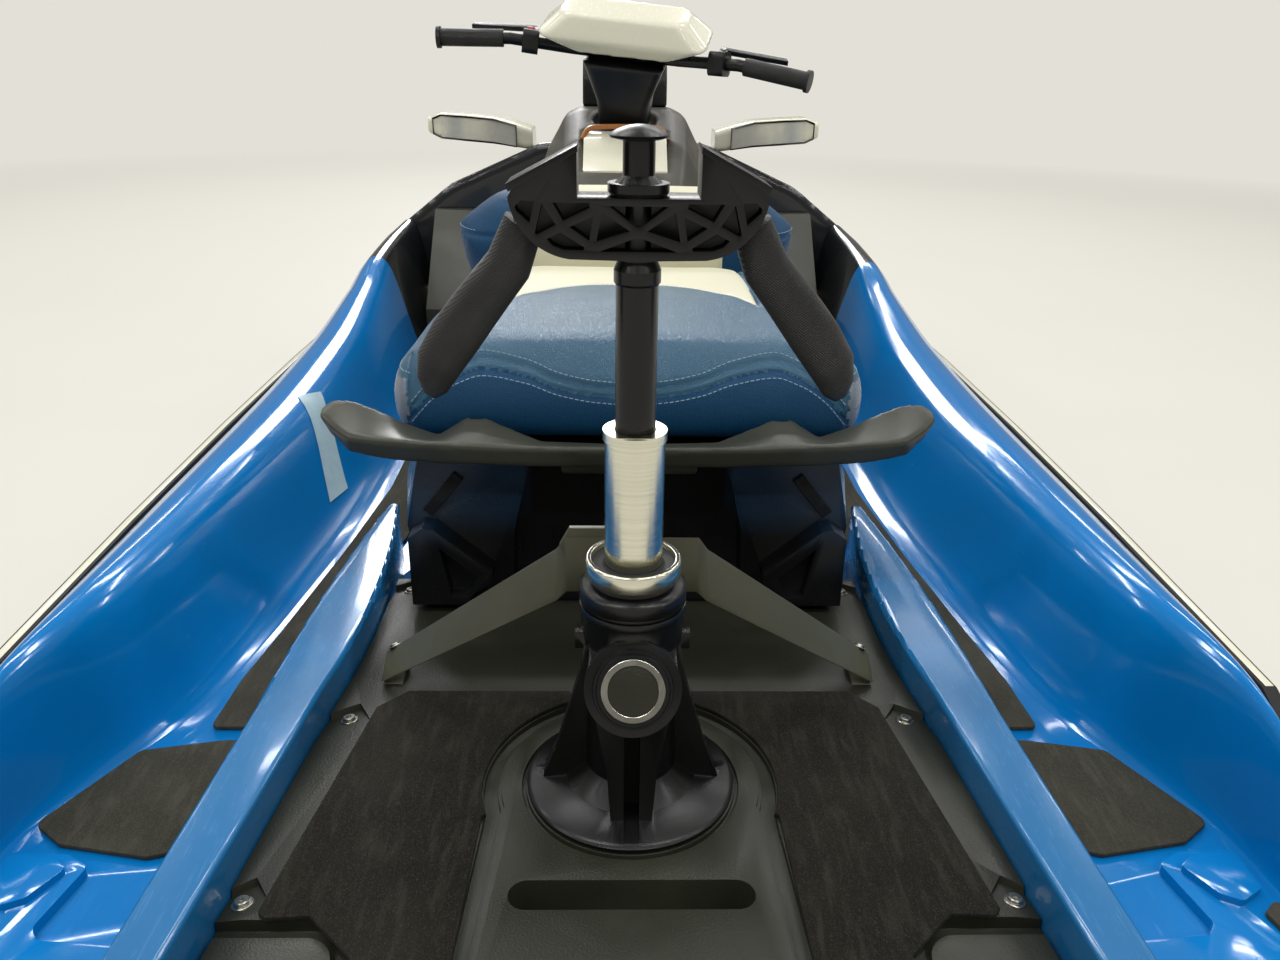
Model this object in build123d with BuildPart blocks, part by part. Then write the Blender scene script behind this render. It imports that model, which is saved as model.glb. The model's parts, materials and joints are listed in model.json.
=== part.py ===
"""Three-seat personal watercraft with a swim platform and a retractable tow mast.

Units are millimetres. +Y is forward, +X is starboard and +Z is up. The origin is amidships on
the centre line at the waterline, the plane that the craft floats on.
"""
import os
from math import cos, radians, sin, sqrt

from build123d import *

os.makedirs("parts", exist_ok=True)

# Overall sizes
STERN_Y = -1708
BOW_Y = 1708
BUMPER_OUT = 16  # how far the bumper stands out of the hull side
KEEL_Z = -230
FLOOR_Z = 135  # top of the hull under the deck pan
STERN_FLANGE_Z = 165  # flange where hull and deck meet, round the stern
FLANGE_RISE_Y = (-1580, -1340)  # where it rises from there to BOND_Z
BOND_Z = 250  # flange along the sides, level as far as SHEER_START_Y
SHEER_START_Y = 450
BOW_BOND_Z = 400
SIDE_WALL = 30  # thickness of the sides above FLOOR_Z
STERN_WALL = 6  # the same behind STERN_WALL_Y, where the gunwales run low
STERN_WALL_Y = -1310
TRANSOM_Y = -1520
PAN_TOP = 147
PLATFORM_Z = 200
LOW_TRIM_Z = -400  # below and above everything, for trimming blocks
HIGH_TRIM_Z = 1000
WIDE = 800
CLEARANCE = 0.3

# Half plan of the bond flange: arcs as (start, middle, end) from the stern to the bow
CORNER_ARC = ((440, STERN_Y), (548, -1673), (587, -1560))
SIDE_ARC = ((587, -1560), (611, -700), (592, 250))
BOW_ARC = ((592, 250), (430, 1050), (72, 1673))
TIP_ARC = ((72, 1673), (40, 1699), (0, BOW_Y))

SHEER_RUN = BOW_Y - SHEER_START_Y
SHEER_RISE = BOW_BOND_Z - BOND_Z
SHEER_RADIUS = (SHEER_RUN**2 + SHEER_RISE**2) / (2 * SHEER_RISE)

# Jet pump
PUMP_Z = -112
PUMP_FLANGE_Y = -1150
PUMP_BORE_R = 81
NOZZLE_PIVOT_Y = -1570
GATE_PIVOT_Y = -1490

# Tow mast on the platform
MAST_Y = -1393
BASE_TOP_Z = 418
SLEEVE_R = 23.8
SLEEVE_BORE_R = 16.4
SLEEVE_TOP_Z = 543
MAST_R = 15.8
HEAD_Z = 677  # underside of the head

# Steering
COLUMN_POINT = (0, 150, 700)
COLUMN_TILT = 24
STEER_REST = -13  # the bars stand turned to starboard by this many degrees
NOZZLE_RATIO = -0.8  # the nozzle turns by this much for each degree of the bars
COLUMN_LEAN = (0, -sin(radians(COLUMN_TILT)), cos(radians(COLUMN_TILT)))
COLUMN_PLANE = Plane(COLUMN_POINT, x_dir=(1, 0, 0), z_dir=COLUMN_LEAN)


def sheer_z(y):
    """Height of the bond flange at a station."""
    if y <= SHEER_START_Y:
        return BOND_Z
    return BOND_Z + SHEER_RADIUS - sqrt(SHEER_RADIUS**2 - (y - SHEER_START_Y) ** 2)


def save(part, name):
    """Label a finished piece and write its STEP file."""
    part.label = name
    export_step(part, f"parts/{name}.step")


def save_pair(part, name):
    """Write a starboard piece and its mirror image on the port side."""
    save(part, f"{name}_right")
    save(mirror(part, about=Plane.YZ), f"{name}_left")


def both_sides(part):
    """A piece made of the given solid and its mirror image, which don't touch."""
    return Part(children=[part, mirror(part, about=Plane.YZ)])


def faired(stations, spacing):
    """Add stations between the given ones, on smooth curves through them that don't overshoot."""
    slopes = []
    for before, after in zip(stations, stations[1:]):
        slopes.append([(b - a) / (after[0] - before[0]) for a, b in zip(before, after)])
    tangents = [slopes[0]]
    for left, right in zip(slopes, slopes[1:]):
        tangents.append([2 * a * b / (a + b) if a * b > 0 else 0 for a, b in zip(left, right)])
    tangents.append(slopes[-1])
    result = [stations[0]]
    for index, (before, after) in enumerate(zip(stations, stations[1:])):
        length = after[0] - before[0]
        steps = max(1, round(length / spacing))
        for step in range(1, steps + 1):
            t = step / steps
            row = []
            for a, b, m, n in zip(before, after, tangents[index], tangents[index + 1]):
                start = a * (1 + 2 * t) * (1 - t) ** 2 + m * length * t * (1 - t) ** 2
                end = b * t**2 * (3 - 2 * t) - n * length * t**2 * (1 - t)
                row.append(start + end)
            result.append(tuple(row))
    return result


def loft_stations(stations, outline, spacing=160, mode=Mode.ADD):
    """Loft closed outlines of straight lines that stand across the craft at the given stations."""
    sections = []
    for station in faired(stations, spacing):
        with BuildSketch(Plane.XZ.offset(-station[0])) as section:
            with BuildLine():
                Polyline(*outline(*station[1:]), close=True)
            make_face()
        sections.append(section.sketch)
    return loft(sections, ruled=True, mode=mode)


def symmetric(points):
    """A closed outline from its starboard half, given from the bottom up."""
    return [*points, *[(-x, z) for x, z in reversed(points) if x > 0]]


# Plan outline of hull and deck
with BuildSketch() as plan:
    with BuildLine():
        Line((0, STERN_Y), CORNER_ARC[0])
        for arc in (CORNER_ARC, SIDE_ARC, BOW_ARC, TIP_ARC):
            ThreePointArc(*arc)
        Line((0, BOW_Y), (0, STERN_Y))
    make_face()
    mirror(about=Plane.YZ)

SHEER_END_Y = BOW_Y + 60
SHEER_MID_Y = (SHEER_START_Y + SHEER_END_Y) / 2


def flange_line(rise):
    """Side view of the bond flange, raised by some amount, from behind the stern to past the bow."""
    Polyline(
        (STERN_Y - 60, STERN_FLANGE_Z + rise),
        (FLANGE_RISE_Y[0], STERN_FLANGE_Z + rise),
        (FLANGE_RISE_Y[1], BOND_Z + rise),
        (SHEER_START_Y, BOND_Z + rise),
    )
    ThreePointArc(
        (SHEER_START_Y, BOND_Z + rise),
        (SHEER_MID_Y, sheer_z(SHEER_MID_Y) + rise),
        (SHEER_END_Y, sheer_z(SHEER_END_Y) + rise),
    )


# Side view of the space under the flange
with BuildSketch(Plane.YZ.offset(-WIDE)) as under_bond:
    with BuildLine():
        flange_line(0)
        Polyline(
            (SHEER_END_Y, sheer_z(SHEER_END_Y)),
            (SHEER_END_Y, LOW_TRIM_Z),
            (STERN_Y - 60, LOW_TRIM_Z),
            (STERN_Y - 60, STERN_FLANGE_Z),
        )
    make_face()

# Plan of the well for the deck pan, between the sides
with BuildSketch() as well_plan:
    offset(plan.sketch, amount=-STERN_WALL)
    with Locations((0, STERN_WALL_Y)):
        Rectangle(2 * WIDE, 6 * WIDE, align=(Align.CENTER, Align.MIN), mode=Mode.SUBTRACT)
    offset(plan.sketch, amount=-SIDE_WALL, mode=Mode.ADD)
    with Locations((0, SHEER_START_Y)):
        Rectangle(2 * WIDE, 4 * WIDE, align=(Align.CENTER, Align.MIN), mode=Mode.SUBTRACT)

# Lower hull: V bottom with a hard chine
# (y, keel z, chine x, chine z, side x, side z)
HULL_STATIONS = [
    (TRANSOM_Y, KEEL_Z, 500, -80, 640, 110),
    (-900, KEEL_Z, 520, -78, 650, 110),
    (0, KEEL_Z, 515, -70, 640, 115),
    (600, -222, 455, -30, 590, 160),
    (1100, -130, 320, 60, 470, 250),
    (1450, 60, 170, 190, 330, 335),
    (BOW_Y, 300, 25, 350, 110, 425),
]
HULL_TOP_TRIM = 520


def hull_outline(keel_z, chine_x, chine_z, side_x, side_z):
    return symmetric([(0, keel_z), (chine_x, chine_z), (side_x, side_z), (side_x, HULL_TOP_TRIM)])


TUNNEL_HALF = 128
TUNNEL_TOP_Z = -2
TUNNEL_MOUTH_Y = -1440
DUCT_HALF = 90
BAY_HALF = 190
BAY_Y = (-650, 150)
BAY_FLOOR_Z = -140
SEAL_Y = (-1012, -940)

with BuildPart() as hull:
    loft_stations(HULL_STATIONS, hull_outline)
    with BuildSketch(Plane.XY.offset(LOW_TRIM_Z)):
        add(plan.sketch)
    extrude(amount=HIGH_TRIM_Z - LOW_TRIM_Z, mode=Mode.INTERSECT)
    extrude(under_bond.sketch, amount=2 * WIDE, dir=(1, 0, 0), mode=Mode.INTERSECT)
    with BuildSketch(Plane.XY.offset(FLOOR_Z)):
        add(well_plan.sketch)
    extrude(amount=HIGH_TRIM_Z, mode=Mode.SUBTRACT)
    # pump tunnel
    with BuildSketch(Plane.XZ.offset(-PUMP_FLANGE_Y)):
        with Locations((0, (TUNNEL_TOP_Z + LOW_TRIM_Z) / 2)):
            Rectangle(2 * TUNNEL_HALF, TUNNEL_TOP_Z - LOW_TRIM_Z)
    extrude(amount=PUMP_FLANGE_Y - TRANSOM_Y + 10, mode=Mode.SUBTRACT)
    # higher mouth of the tunnel, for the raised gate
    with BuildSketch(Plane.XZ.offset(-TUNNEL_MOUTH_Y)):
        with Locations((0, 0)):
            Rectangle(2 * TUNNEL_HALF, 2 * FLOOR_Z)
    extrude(amount=TUNNEL_MOUTH_Y - TRANSOM_Y + 10, mode=Mode.SUBTRACT)
    # intake duct, from the keel up to the pump
    with BuildSketch(Plane.YZ.offset(-DUCT_HALF)):
        with BuildLine():
            Polyline(
                (PUMP_FLANGE_Y - 1, -28),
                (PUMP_FLANGE_Y - 1, LOW_TRIM_Z),
                (-640, LOW_TRIM_Z),
                (-690, KEEL_Z - 2),
                close=True,
            )
        make_face()
    extrude(amount=2 * DUCT_HALF, mode=Mode.SUBTRACT)
    # seal boss for the drive shaft
    with BuildSketch(Plane.XZ.offset(-SEAL_Y[0])):
        with Locations((0, PUMP_Z)):
            Circle(24)
    extrude(amount=-(SEAL_Y[1] - SEAL_Y[0]))
    with BuildSketch(Plane.XZ.offset(-SEAL_Y[0] + 2)):
        with Locations((0, PUMP_Z)):
            Circle(16)
    extrude(amount=-36, mode=Mode.SUBTRACT)
    # engine bay
    with BuildSketch(Plane.XY.offset(BAY_FLOOR_Z)):
        with Locations((0, sum(BAY_Y) / 2)):
            Rectangle(2 * BAY_HALF, BAY_Y[1] - BAY_Y[0])
    extrude(amount=HIGH_TRIM_Z, mode=Mode.SUBTRACT)
save(hull.part, "hull")

# Engine: one plain block that stands on the floor of its bay
with BuildPart() as engine_block:
    with Locations((0, sum(BAY_Y) / 2 - 20, BAY_FLOOR_Z)):
        Box(340, 680, 420, align=(Align.CENTER, Align.CENTER, Align.MIN))
save(engine_block.part, "engine_block")

# Deck pan: footwell floors, and the stern block under the platform with a rim round it
STERN_BLOCK_BOTTOM_Z = 70
STERN_RIM = 24
# Raised panel in each stern corner, and the pad on it, as plan outlines
CORNER_PANEL = [
    (376, -1538), (425, -1531), (474, -1527), (483, -1514), (470, -1448), (494, -1434),
    (546, -1430), (552, -1570), (566, -1590), (534, -1650), (450, -1680), (382, -1680),
]
CORNER_PAD = [(483, -1457), (498, -1446), (540, -1440), (540, -1484), (516, -1498), (500, -1490)]
CORNER_PANEL_STEP = 10
CORNER_PAD_STEP = 7
GATE_ARCH_Z = 112
GATE_ARCH_HALF = 135
with BuildPart() as deck_pan:
    with BuildSketch(Plane.XY.offset(FLOOR_Z)):
        add(well_plan.sketch)
        with Locations((0, sum(BAY_Y) / 2)):
            Rectangle(2 * BAY_HALF, BAY_Y[1] - BAY_Y[0], mode=Mode.SUBTRACT)
    extrude(amount=PAN_TOP - FLOOR_Z)
    with BuildSketch(Plane.XY.offset(STERN_BLOCK_BOTTOM_Z)):
        add(plan.sketch)
        with Locations((0, TRANSOM_Y)):
            Rectangle(2 * WIDE, 6 * WIDE, align=(Align.CENTER, Align.MIN), mode=Mode.SUBTRACT)
    extrude(amount=PAN_TOP - STERN_BLOCK_BOTTOM_Z)
    with BuildSketch(Plane.XY.offset(PAN_TOP)):
        add(plan.sketch)
        offset(plan.sketch, amount=-STERN_RIM, mode=Mode.SUBTRACT)
        with Locations((0, TRANSOM_Y)):
            Rectangle(2 * WIDE, 6 * WIDE, align=(Align.CENTER, Align.MIN), mode=Mode.SUBTRACT)
    extrude(amount=BOND_Z - PAN_TOP)
    extrude(under_bond.sketch, amount=2 * WIDE, dir=(1, 0, 0), mode=Mode.INTERSECT)
    with BuildSketch(Plane.XY.offset(LOW_TRIM_Z)):
        with Locations((0, TRANSOM_Y)):
            Rectangle(2 * GATE_ARCH_HALF, 500)
    extrude(amount=GATE_ARCH_Z - LOW_TRIM_Z, mode=Mode.SUBTRACT)
    for outline, height, step, radius in (
        (CORNER_PANEL, PAN_TOP, CORNER_PANEL_STEP, 9),
        (CORNER_PAD, PAN_TOP + CORNER_PANEL_STEP, CORNER_PAD_STEP, 6),
    ):
        with BuildSketch(Plane.XY.offset(height)) as corner_plan:
            with BuildLine():
                Polyline(*outline, close=True)
            make_face()
            fillet(corner_plan.vertices(), radius=radius)
            mirror(about=Plane.YZ)
        extrude(amount=step)
save(deck_pan.part, "deck_pan")

# Bumper: a band round the flange, low at the stern and rising to the bow
BUMPER_LOW = 22
BUMPER_HIGH = 20
with BuildPart() as bumper:
    with BuildSketch(Plane.XY.offset(LOW_TRIM_Z)):
        add(plan.sketch)
        offset(amount=BUMPER_OUT, kind=Kind.ARC)
        add(plan.sketch, mode=Mode.SUBTRACT)
    extrude(amount=HIGH_TRIM_Z - LOW_TRIM_Z)
    with BuildSketch(Plane.YZ.offset(-WIDE)):
        with BuildLine():
            for rise in (-BUMPER_LOW, BUMPER_HIGH):
                flange_line(rise)
            for y, z in ((STERN_Y - 60, STERN_FLANGE_Z), (SHEER_END_Y, sheer_z(SHEER_END_Y))):
                Line((y, z - BUMPER_LOW), (y, z + BUMPER_HIGH))
        make_face()
    extrude(amount=2 * WIDE, mode=Mode.INTERSECT)
save(bumper.part, "bumper")

# Gunwales: high inner walls of the footwells, rolled over to the flange
# (y, flange x, top z, inner foot x)
GUNWALE_STATIONS = [
    (-1575, 600, 184, 573),
    (-1500, 606, 218, 569),
    (-1430, 612, 252, 561),
    (-1385, 614, 272, 551),
    (-1330, 615, 287, 524),
    (-1270, 616, 294, 492),
    (-1200, 618, 297, 462),
    (-1000, 620, 298, 428),
    (-600, 621, 302, 392),
    (-300, 619, 315, 396),
    (0, 614, 354, 424),
    (140, 606, 384, 440),
    (SHEER_START_Y - 2, 576, 412, 448),
]
# Section of a gunwale as parts of its width and height, from its foot over the top
GUNWALE_SECTION = [
    (0.14, 0.12),
    (0.3, 0.45),
    (0.43, 0.77),
    (0.54, 0.95),
    (0.66, 1),
    (0.79, 0.97),
    (0.88, 0.91),
    (0.95, 0.78),
]


def gunwale_outline(flange_x, top_z, foot_x):
    width = flange_x - foot_x
    height = top_z - PAN_TOP
    curve = [(foot_x + across * width, PAN_TOP + up * height) for across, up in GUNWALE_SECTION]
    return [(flange_x, PAN_TOP), (foot_x, PAN_TOP), *curve, (flange_x, PAN_TOP + 0.6 * height)]


with BuildPart() as gunwale:
    loft_stations(GUNWALE_STATIONS, gunwale_outline)
    with BuildSketch(Plane.XY.offset(LOW_TRIM_Z)):
        add(plan.sketch)
    extrude(amount=HIGH_TRIM_Z - LOW_TRIM_Z, mode=Mode.INTERSECT)
    add(hull.part, mode=Mode.SUBTRACT)
    add(deck_pan.part, mode=Mode.SUBTRACT)
save_pair(gunwale.part, "gunwale")

# Side rails: raised blades along both edges of the platform
RAIL_TOP_Z = 236
RAIL_REAR_Y = STERN_Y + STERN_RIM + 2
with BuildPart() as side_rail:
    with BuildSketch(Plane.XY.offset(PAN_TOP)):
        with BuildLine():
            Polyline((300, -1290), (331, RAIL_REAR_Y), (370, RAIL_REAR_Y), (356, -1330))
            ThreePointArc((356, -1330), (348, -1080), (326, -862))
            Line((326, -862), (312, -860))
            ThreePointArc((312, -860), (288.5, -1090), (300, -1290))
        make_face()
    extrude(amount=RAIL_TOP_Z - PAN_TOP)
    fillet(side_rail.faces().sort_by(Axis.Z)[-1].edges(), radius=5)
save(both_sides(side_rail.part), "side_rails")

# Platform panel between the rails, with a raised spine that carries the mast
PANEL_FRONT_Y = -1010
PANEL_REAR_Y = RAIL_REAR_Y
SPINE_TOP_Z = PLATFORM_Z + 4
SPINE_R = 116
SPINE_GROOVE = 16
SLOT_Y = -1528
SLOT_LENGTH = 195
SLOT_WIDTH = 30
FOOT_R = 93
# Bolts that hold the panel down: (x, y, the way their pocket's front wall runs, in degrees)
PANEL_BOLTS = [(265, -1036, -32), (278, -1295, -32), (304.5, -1529, -36)]
POCKET_REACH = 36
POCKET_DEPTH = 7
AFT_PAD = (230, -1563)  # inner front corner of the pads behind the mats


def spine_plan(grow):
    """Plan of the spine, grown by some amount."""
    with BuildSketch(Plane.XY.offset(PLATFORM_Z)) as spine:
        with Locations((0, MAST_Y)):
            Circle(SPINE_R + grow)
        with BuildLine():
            Polyline(
                (-108 - grow, -1370),
                (108 + grow, -1370),
                (122 + grow, PANEL_REAR_Y),
                (-122 - grow, PANEL_REAR_Y),
                close=True,
            )
        make_face()
    return spine.sketch


with BuildPart() as platform_panel:
    with BuildSketch(Plane.XY.offset(PAN_TOP)):
        with BuildLine():
            Polyline(
                (0, -1063),
                (248, -1063),
                (264, PANEL_FRONT_Y),
                (286, PANEL_FRONT_Y),
                (286, -1140),
                (290.5, -1220),
                (298.6, -1290),
                (329.6, PANEL_REAR_Y),
                (0, PANEL_REAR_Y),
                close=True,
            )
        make_face()
        mirror(about=Plane.YZ)
    extrude(amount=PLATFORM_Z - PAN_TOP)
    # groove round the spine, and the spine in it
    extrude(spine_plan(SPINE_GROOVE), amount=-6, mode=Mode.SUBTRACT)
    extrude(spine_plan(3), amount=-7, mode=Mode.ADD)
    extrude(spine_plan(0), amount=SPINE_TOP_Z - PLATFORM_Z)
    # round groove outside the mast's foot
    with BuildSketch(Plane.XY.offset(SPINE_TOP_Z)):
        with Locations((0, MAST_Y)):
            Circle(FOOT_R + 5)
            Circle(FOOT_R + 1, mode=Mode.SUBTRACT)
    extrude(amount=-5, mode=Mode.SUBTRACT)
    # slot through the spine
    with BuildSketch(Plane.XY.offset(SPINE_TOP_Z)):
        with Locations((0, SLOT_Y)):
            SlotOverall(SLOT_LENGTH, SLOT_WIDTH)
    extrude(amount=-44, mode=Mode.SUBTRACT)
    # wedge pockets for the bolts
    for x, y, turn in PANEL_BOLTS:
        along = (cos(radians(turn)), sin(radians(turn)), 0)
        aft = (sin(radians(turn)), -cos(radians(turn)), 0)
        start = (x - 17 * along[0] - 17 * aft[0], y - 17 * along[1] - 17 * aft[1], PLATFORM_Z)
        with BuildSketch(Plane(start, x_dir=aft, z_dir=along)):
            with BuildLine():
                Polyline((0, 0), (1.5, POCKET_DEPTH), (POCKET_REACH, 0), close=True)
            make_face()
        extrude(amount=70, mode=Mode.SUBTRACT)
    # sunken aft corners, each with a pad
    with BuildSketch(Plane.XY.offset(PLATFORM_Z)) as sunken_corner:
        with BuildLine():
            Polyline(
                (AFT_PAD[0] - 22, PANEL_REAR_Y - 1),
                (AFT_PAD[0] - 22, AFT_PAD[1] + 15),
                (WIDE, AFT_PAD[1] + 15),
                (WIDE, PANEL_REAR_Y - 1),
                close=True,
            )
        make_face()
        fillet(sunken_corner.vertices().group_by(Axis.X)[0].group_by(Axis.Y)[-1], radius=38)
    extrude(amount=-12, mode=Mode.SUBTRACT)
    with BuildSketch(Plane.XY.offset(PLATFORM_Z - 12)) as aft_pad:
        with BuildLine():
            Polyline(
                (AFT_PAD[0] - 8, PANEL_REAR_Y),
                (AFT_PAD[0] - 8, AFT_PAD[1]),
                (315, AFT_PAD[1]),
                (327, PANEL_REAR_Y),
                close=True,
            )
        make_face()
        fillet(aft_pad.vertices().group_by(Axis.X)[0].group_by(Axis.Y)[-1], radius=24)
    extrude(amount=10)
    mirror(about=Plane.YZ, mode=Mode.INTERSECT)
    with Locations((0, MAST_Y, SPINE_TOP_Z)):
        Hole(radius=20, depth=49)
save(platform_panel.part, "platform_panel")

# Foam mats on the platform, beside the spine
MAT_THICKNESS = 5
with BuildPart() as mat:
    with BuildSketch(Plane.XY.offset(PLATFORM_Z)) as mat_plan:
        with BuildLine():
            Polyline(
                (60, -1256),
                (226, -1256),
                (253, -1284),
                (287, -1544),
                (280, -1551),
                (246, -1549),
                (206, -1588),
                (202, -1672),
                (134, -1672),
                (129, -1440),
                (60, -1400),
                close=True,
            )
        make_face()
        with Locations((0, MAST_Y)):
            Circle(SPINE_R + SPINE_GROOVE + 1, mode=Mode.SUBTRACT)
    extrude(amount=MAT_THICKNESS)
save(both_sides(mat.part), "platform_mats")

# Foam mats in the footwells and on the stern corners, as plan outlines
FLOOR_MAT = [
    (376, -1246), (440, -1246), (437, -1160), (424, -1060), (400, -850), (380, -617), (382, -300),
    (404, 0), (416, 205), (268, 205), (272, -100), (300, -500), (320, -800), (366, -1060),
]
CORNER_MAT = [
    (388, -1266), (420, -1268), (496, -1284), (547, -1390), (512, -1416), (428, -1432), (388, -1420),
]
AFT_MAT = [(529, -1508), (548, -1492), (548, -1534), (534, -1530)]
with BuildPart() as floor_mats:
    for outline, height, radius in (
        (FLOOR_MAT, PAN_TOP, 8),
        (CORNER_MAT, PAN_TOP, 10),
        (AFT_MAT, PAN_TOP + CORNER_PANEL_STEP, 4),
    ):
        with BuildSketch(Plane.XY.offset(height)) as floor_mat_plan:
            with BuildLine():
                Polyline(*outline, close=True)
            make_face()
            fillet(floor_mat_plan.vertices(), radius=radius)
            mirror(about=Plane.YZ)
        extrude(amount=MAT_THICKNESS)
save(floor_mats.part, "floor_mats")

# Pedestal under the seats, hollow over the engine
# (y, bottom half width, waist half width, top half width, top z)
PEDESTAL_STATIONS = [
    (-1060, 236, 258, 238, 398),
    (-900, 284, 288, 262, 400),
    (-600, 256, 256, 236, 412),
    (-300, 222, 220, 190, 424),
    (-62, 214, 212, 160, 430),
]
PEDESTAL_WAIST_Z = 300
BRACKET_REAR = 1092  # how far aft the brackets on its rear face reach
BRACKET_OUTLINE = [
    (236, 309), (222, 307), (158, 252), (158, 240), (178, 226), (190, 210), (252, 210), (252, 297),
]
BRACKET_POCKET = [(217, 284), (176, 248), (186, 222), (206, 222)]


def pedestal_outline(bottom, waist, top, top_z):
    return symmetric([(0, PAN_TOP), (bottom, PAN_TOP), (waist, PEDESTAL_WAIST_Z), (top, top_z), (0, top_z)])


with BuildPart() as pedestal:
    loft_stations(PEDESTAL_STATIONS, pedestal_outline)
    with BuildSketch(Plane.XY.offset(PAN_TOP - 5)):
        with Locations((0, -345)):
            Rectangle(2 * BAY_HALF - 30, 570)
    extrude(amount=160, mode=Mode.SUBTRACT)
    # recess under the rear of the seat
    with BuildSketch(Plane.XZ.offset(1061)):
        with BuildLine():
            Polyline((0, 376), (112, 376), (120, 350), (133, 294), (136, 226), (0, 226), close=True)
        make_face()
        mirror(about=Plane.YZ)
    extrude(amount=-46, mode=Mode.SUBTRACT)
    # wedge brackets low on both sides of the recess
    with BuildSketch(Plane.XZ.offset(BRACKET_REAR)):
        with BuildLine():
            Polyline(*BRACKET_OUTLINE, close=True)
        make_face()
        mirror(about=Plane.YZ)
    extrude(amount=-(BRACKET_REAR - 1050))
    with BuildSketch(Plane.XZ.offset(BRACKET_REAR)):
        with BuildLine():
            Polyline(*BRACKET_POCKET, close=True)
        make_face()
        mirror(about=Plane.YZ)
    extrude(amount=-16, mode=Mode.SUBTRACT)
save(pedestal.part, "pedestal")

# Seats
# (y, bottom half width, shoulder half width, top half width, bottom z, shoulder z, top z)
REAR_SEAT_STATIONS = [
    (-1066, 216, 228, 186, 404, 448, 476),
    (-1052, 248, 260, 212, 403, 456, 492),
    (-1015, 264, 275, 226, 402, 466, 507),
    (-850, 262, 270, 210, 404, 474, 517),
    (-700, 242, 250, 176, 409, 474, 513),
    (-565, 224, 232, 152, 415, 470, 506),
]
FRONT_SEAT_STATIONS = [
    (-555, 218, 248, 180, 416, 545, 592),
    (-505, 220, 266, 196, 418, 562, 612),
    (-440, 214, 256, 188, 420, 552, 606),
    (-370, 200, 210, 126, 424, 490, 546),
    (-200, 172, 176, 102, 430, 480, 525),
    (-62, 140, 142, 82, 434, 500, 545),
]


def seat_outline(bottom, shoulder, top, bottom_z, shoulder_z, top_z):
    return symmetric([(0, bottom_z), (bottom, bottom_z), (shoulder, shoulder_z), (top, top_z), (0, top_z)])


for name, stations in (("rear_seat", REAR_SEAT_STATIONS), ("front_seat", FRONT_SEAT_STATIONS)):
    with BuildPart() as seat:
        loft_stations(stations, seat_outline)
        # seated on the pedestal
        loft_stations(PEDESTAL_STATIONS, pedestal_outline, mode=Mode.SUBTRACT)
    save(seat.part, name)

# Grab handle: a bar behind the seat with a lobe and a raised wing on each side
# (x, rear y, rear z, front y, front z, underside z)
HANDLE_STATIONS = [
    (0, -1130, 424, -1086, 412, 400),
    (98, -1131, 425, -1078, 412, 400),
    (157, -1131, 427, -1072, 437, 402),
    (181, -1131, 428, -1070, 437, 402),
    (212, -1129, 429, -1070, 416, 403),
    (244, -1127, 430, -1070, 428, 404),
    (274, -1122, 430, -1066, 442, 406),
    (302, -1116, 431, -1062, 452, 410),
    (324, -1100, 438, -1064, 456, 424),
    (337, -1090, 447, -1074, 451, 440),
]
with BuildPart() as grab_handle:
    for x, rear_y, rear_z, front_y, front_z, under_z in faired(HANDLE_STATIONS, 25):
        with BuildSketch(Plane.YZ.offset(x)):
            with BuildLine():
                Polyline(
                    (rear_y, rear_z - 3),
                    (rear_y + 3, rear_z),
                    (front_y, front_z),
                    (front_y, under_z),
                    (rear_y + 4, under_z),
                    close=True,
                )
            make_face()
    loft(ruled=True)
    mirror(about=Plane.YZ)
    # bracket under it, on the pedestal's rear face
    with Locations((0, -1082, 392)):
        Box(150, 44, 20)
    loft_stations(PEDESTAL_STATIONS, pedestal_outline, mode=Mode.SUBTRACT)
save(grab_handle.part, "grab_handle")

# Nose: the fore deck over the bond flange
# (y, edge x, edge z, middle x, middle z, top x, top z)
NOSE_STATIONS = [
    (SHEER_START_Y, 535, 415, 430, 498, 200, 600),
    (800, 450, 430, 355, 502, 155, 582),
    (1200, 310, 440, 240, 490, 110, 545),
    (1500, 175, 436, 135, 464, 65, 496),
    (BOW_Y, 45, 424, 34, 431, 18, 440),
]


def nose_outline(edge_x, edge_z, middle_x, middle_z, top_x, top_z):
    return symmetric(
        [
            (0, 90),
            (edge_x + 90, 90),
            (edge_x + 90, edge_z - 70),
            (edge_x, edge_z),
            (middle_x, middle_z),
            (top_x, top_z),
        ]
    )


HOOD_Y = (640, 1440)
HOOD_HALF = (235, 120)  # half width at the rear and at the front
HOOD_LOW_Z = (520, 462)  # underside at the rear and at the front
BIN_HALF = 130
BIN_Y = (700, 1180)
BIN_FLOOR_Z = 300


def hood_plan(gap):
    """Plan of the hood lid, grown by a gap for the opening it lies in."""
    rear, front = HOOD_Y[0] - gap, HOOD_Y[1] + gap
    with BuildSketch(Plane.XY.offset(LOW_TRIM_Z)) as lid_plan:
        with BuildLine():
            Polyline(
                (-HOOD_HALF[0] - gap, rear),
                (HOOD_HALF[0] + gap, rear),
                (HOOD_HALF[1] + gap, front),
                (-HOOD_HALF[1] - gap, front),
                close=True,
            )
        make_face()
    return lid_plan.sketch


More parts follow.
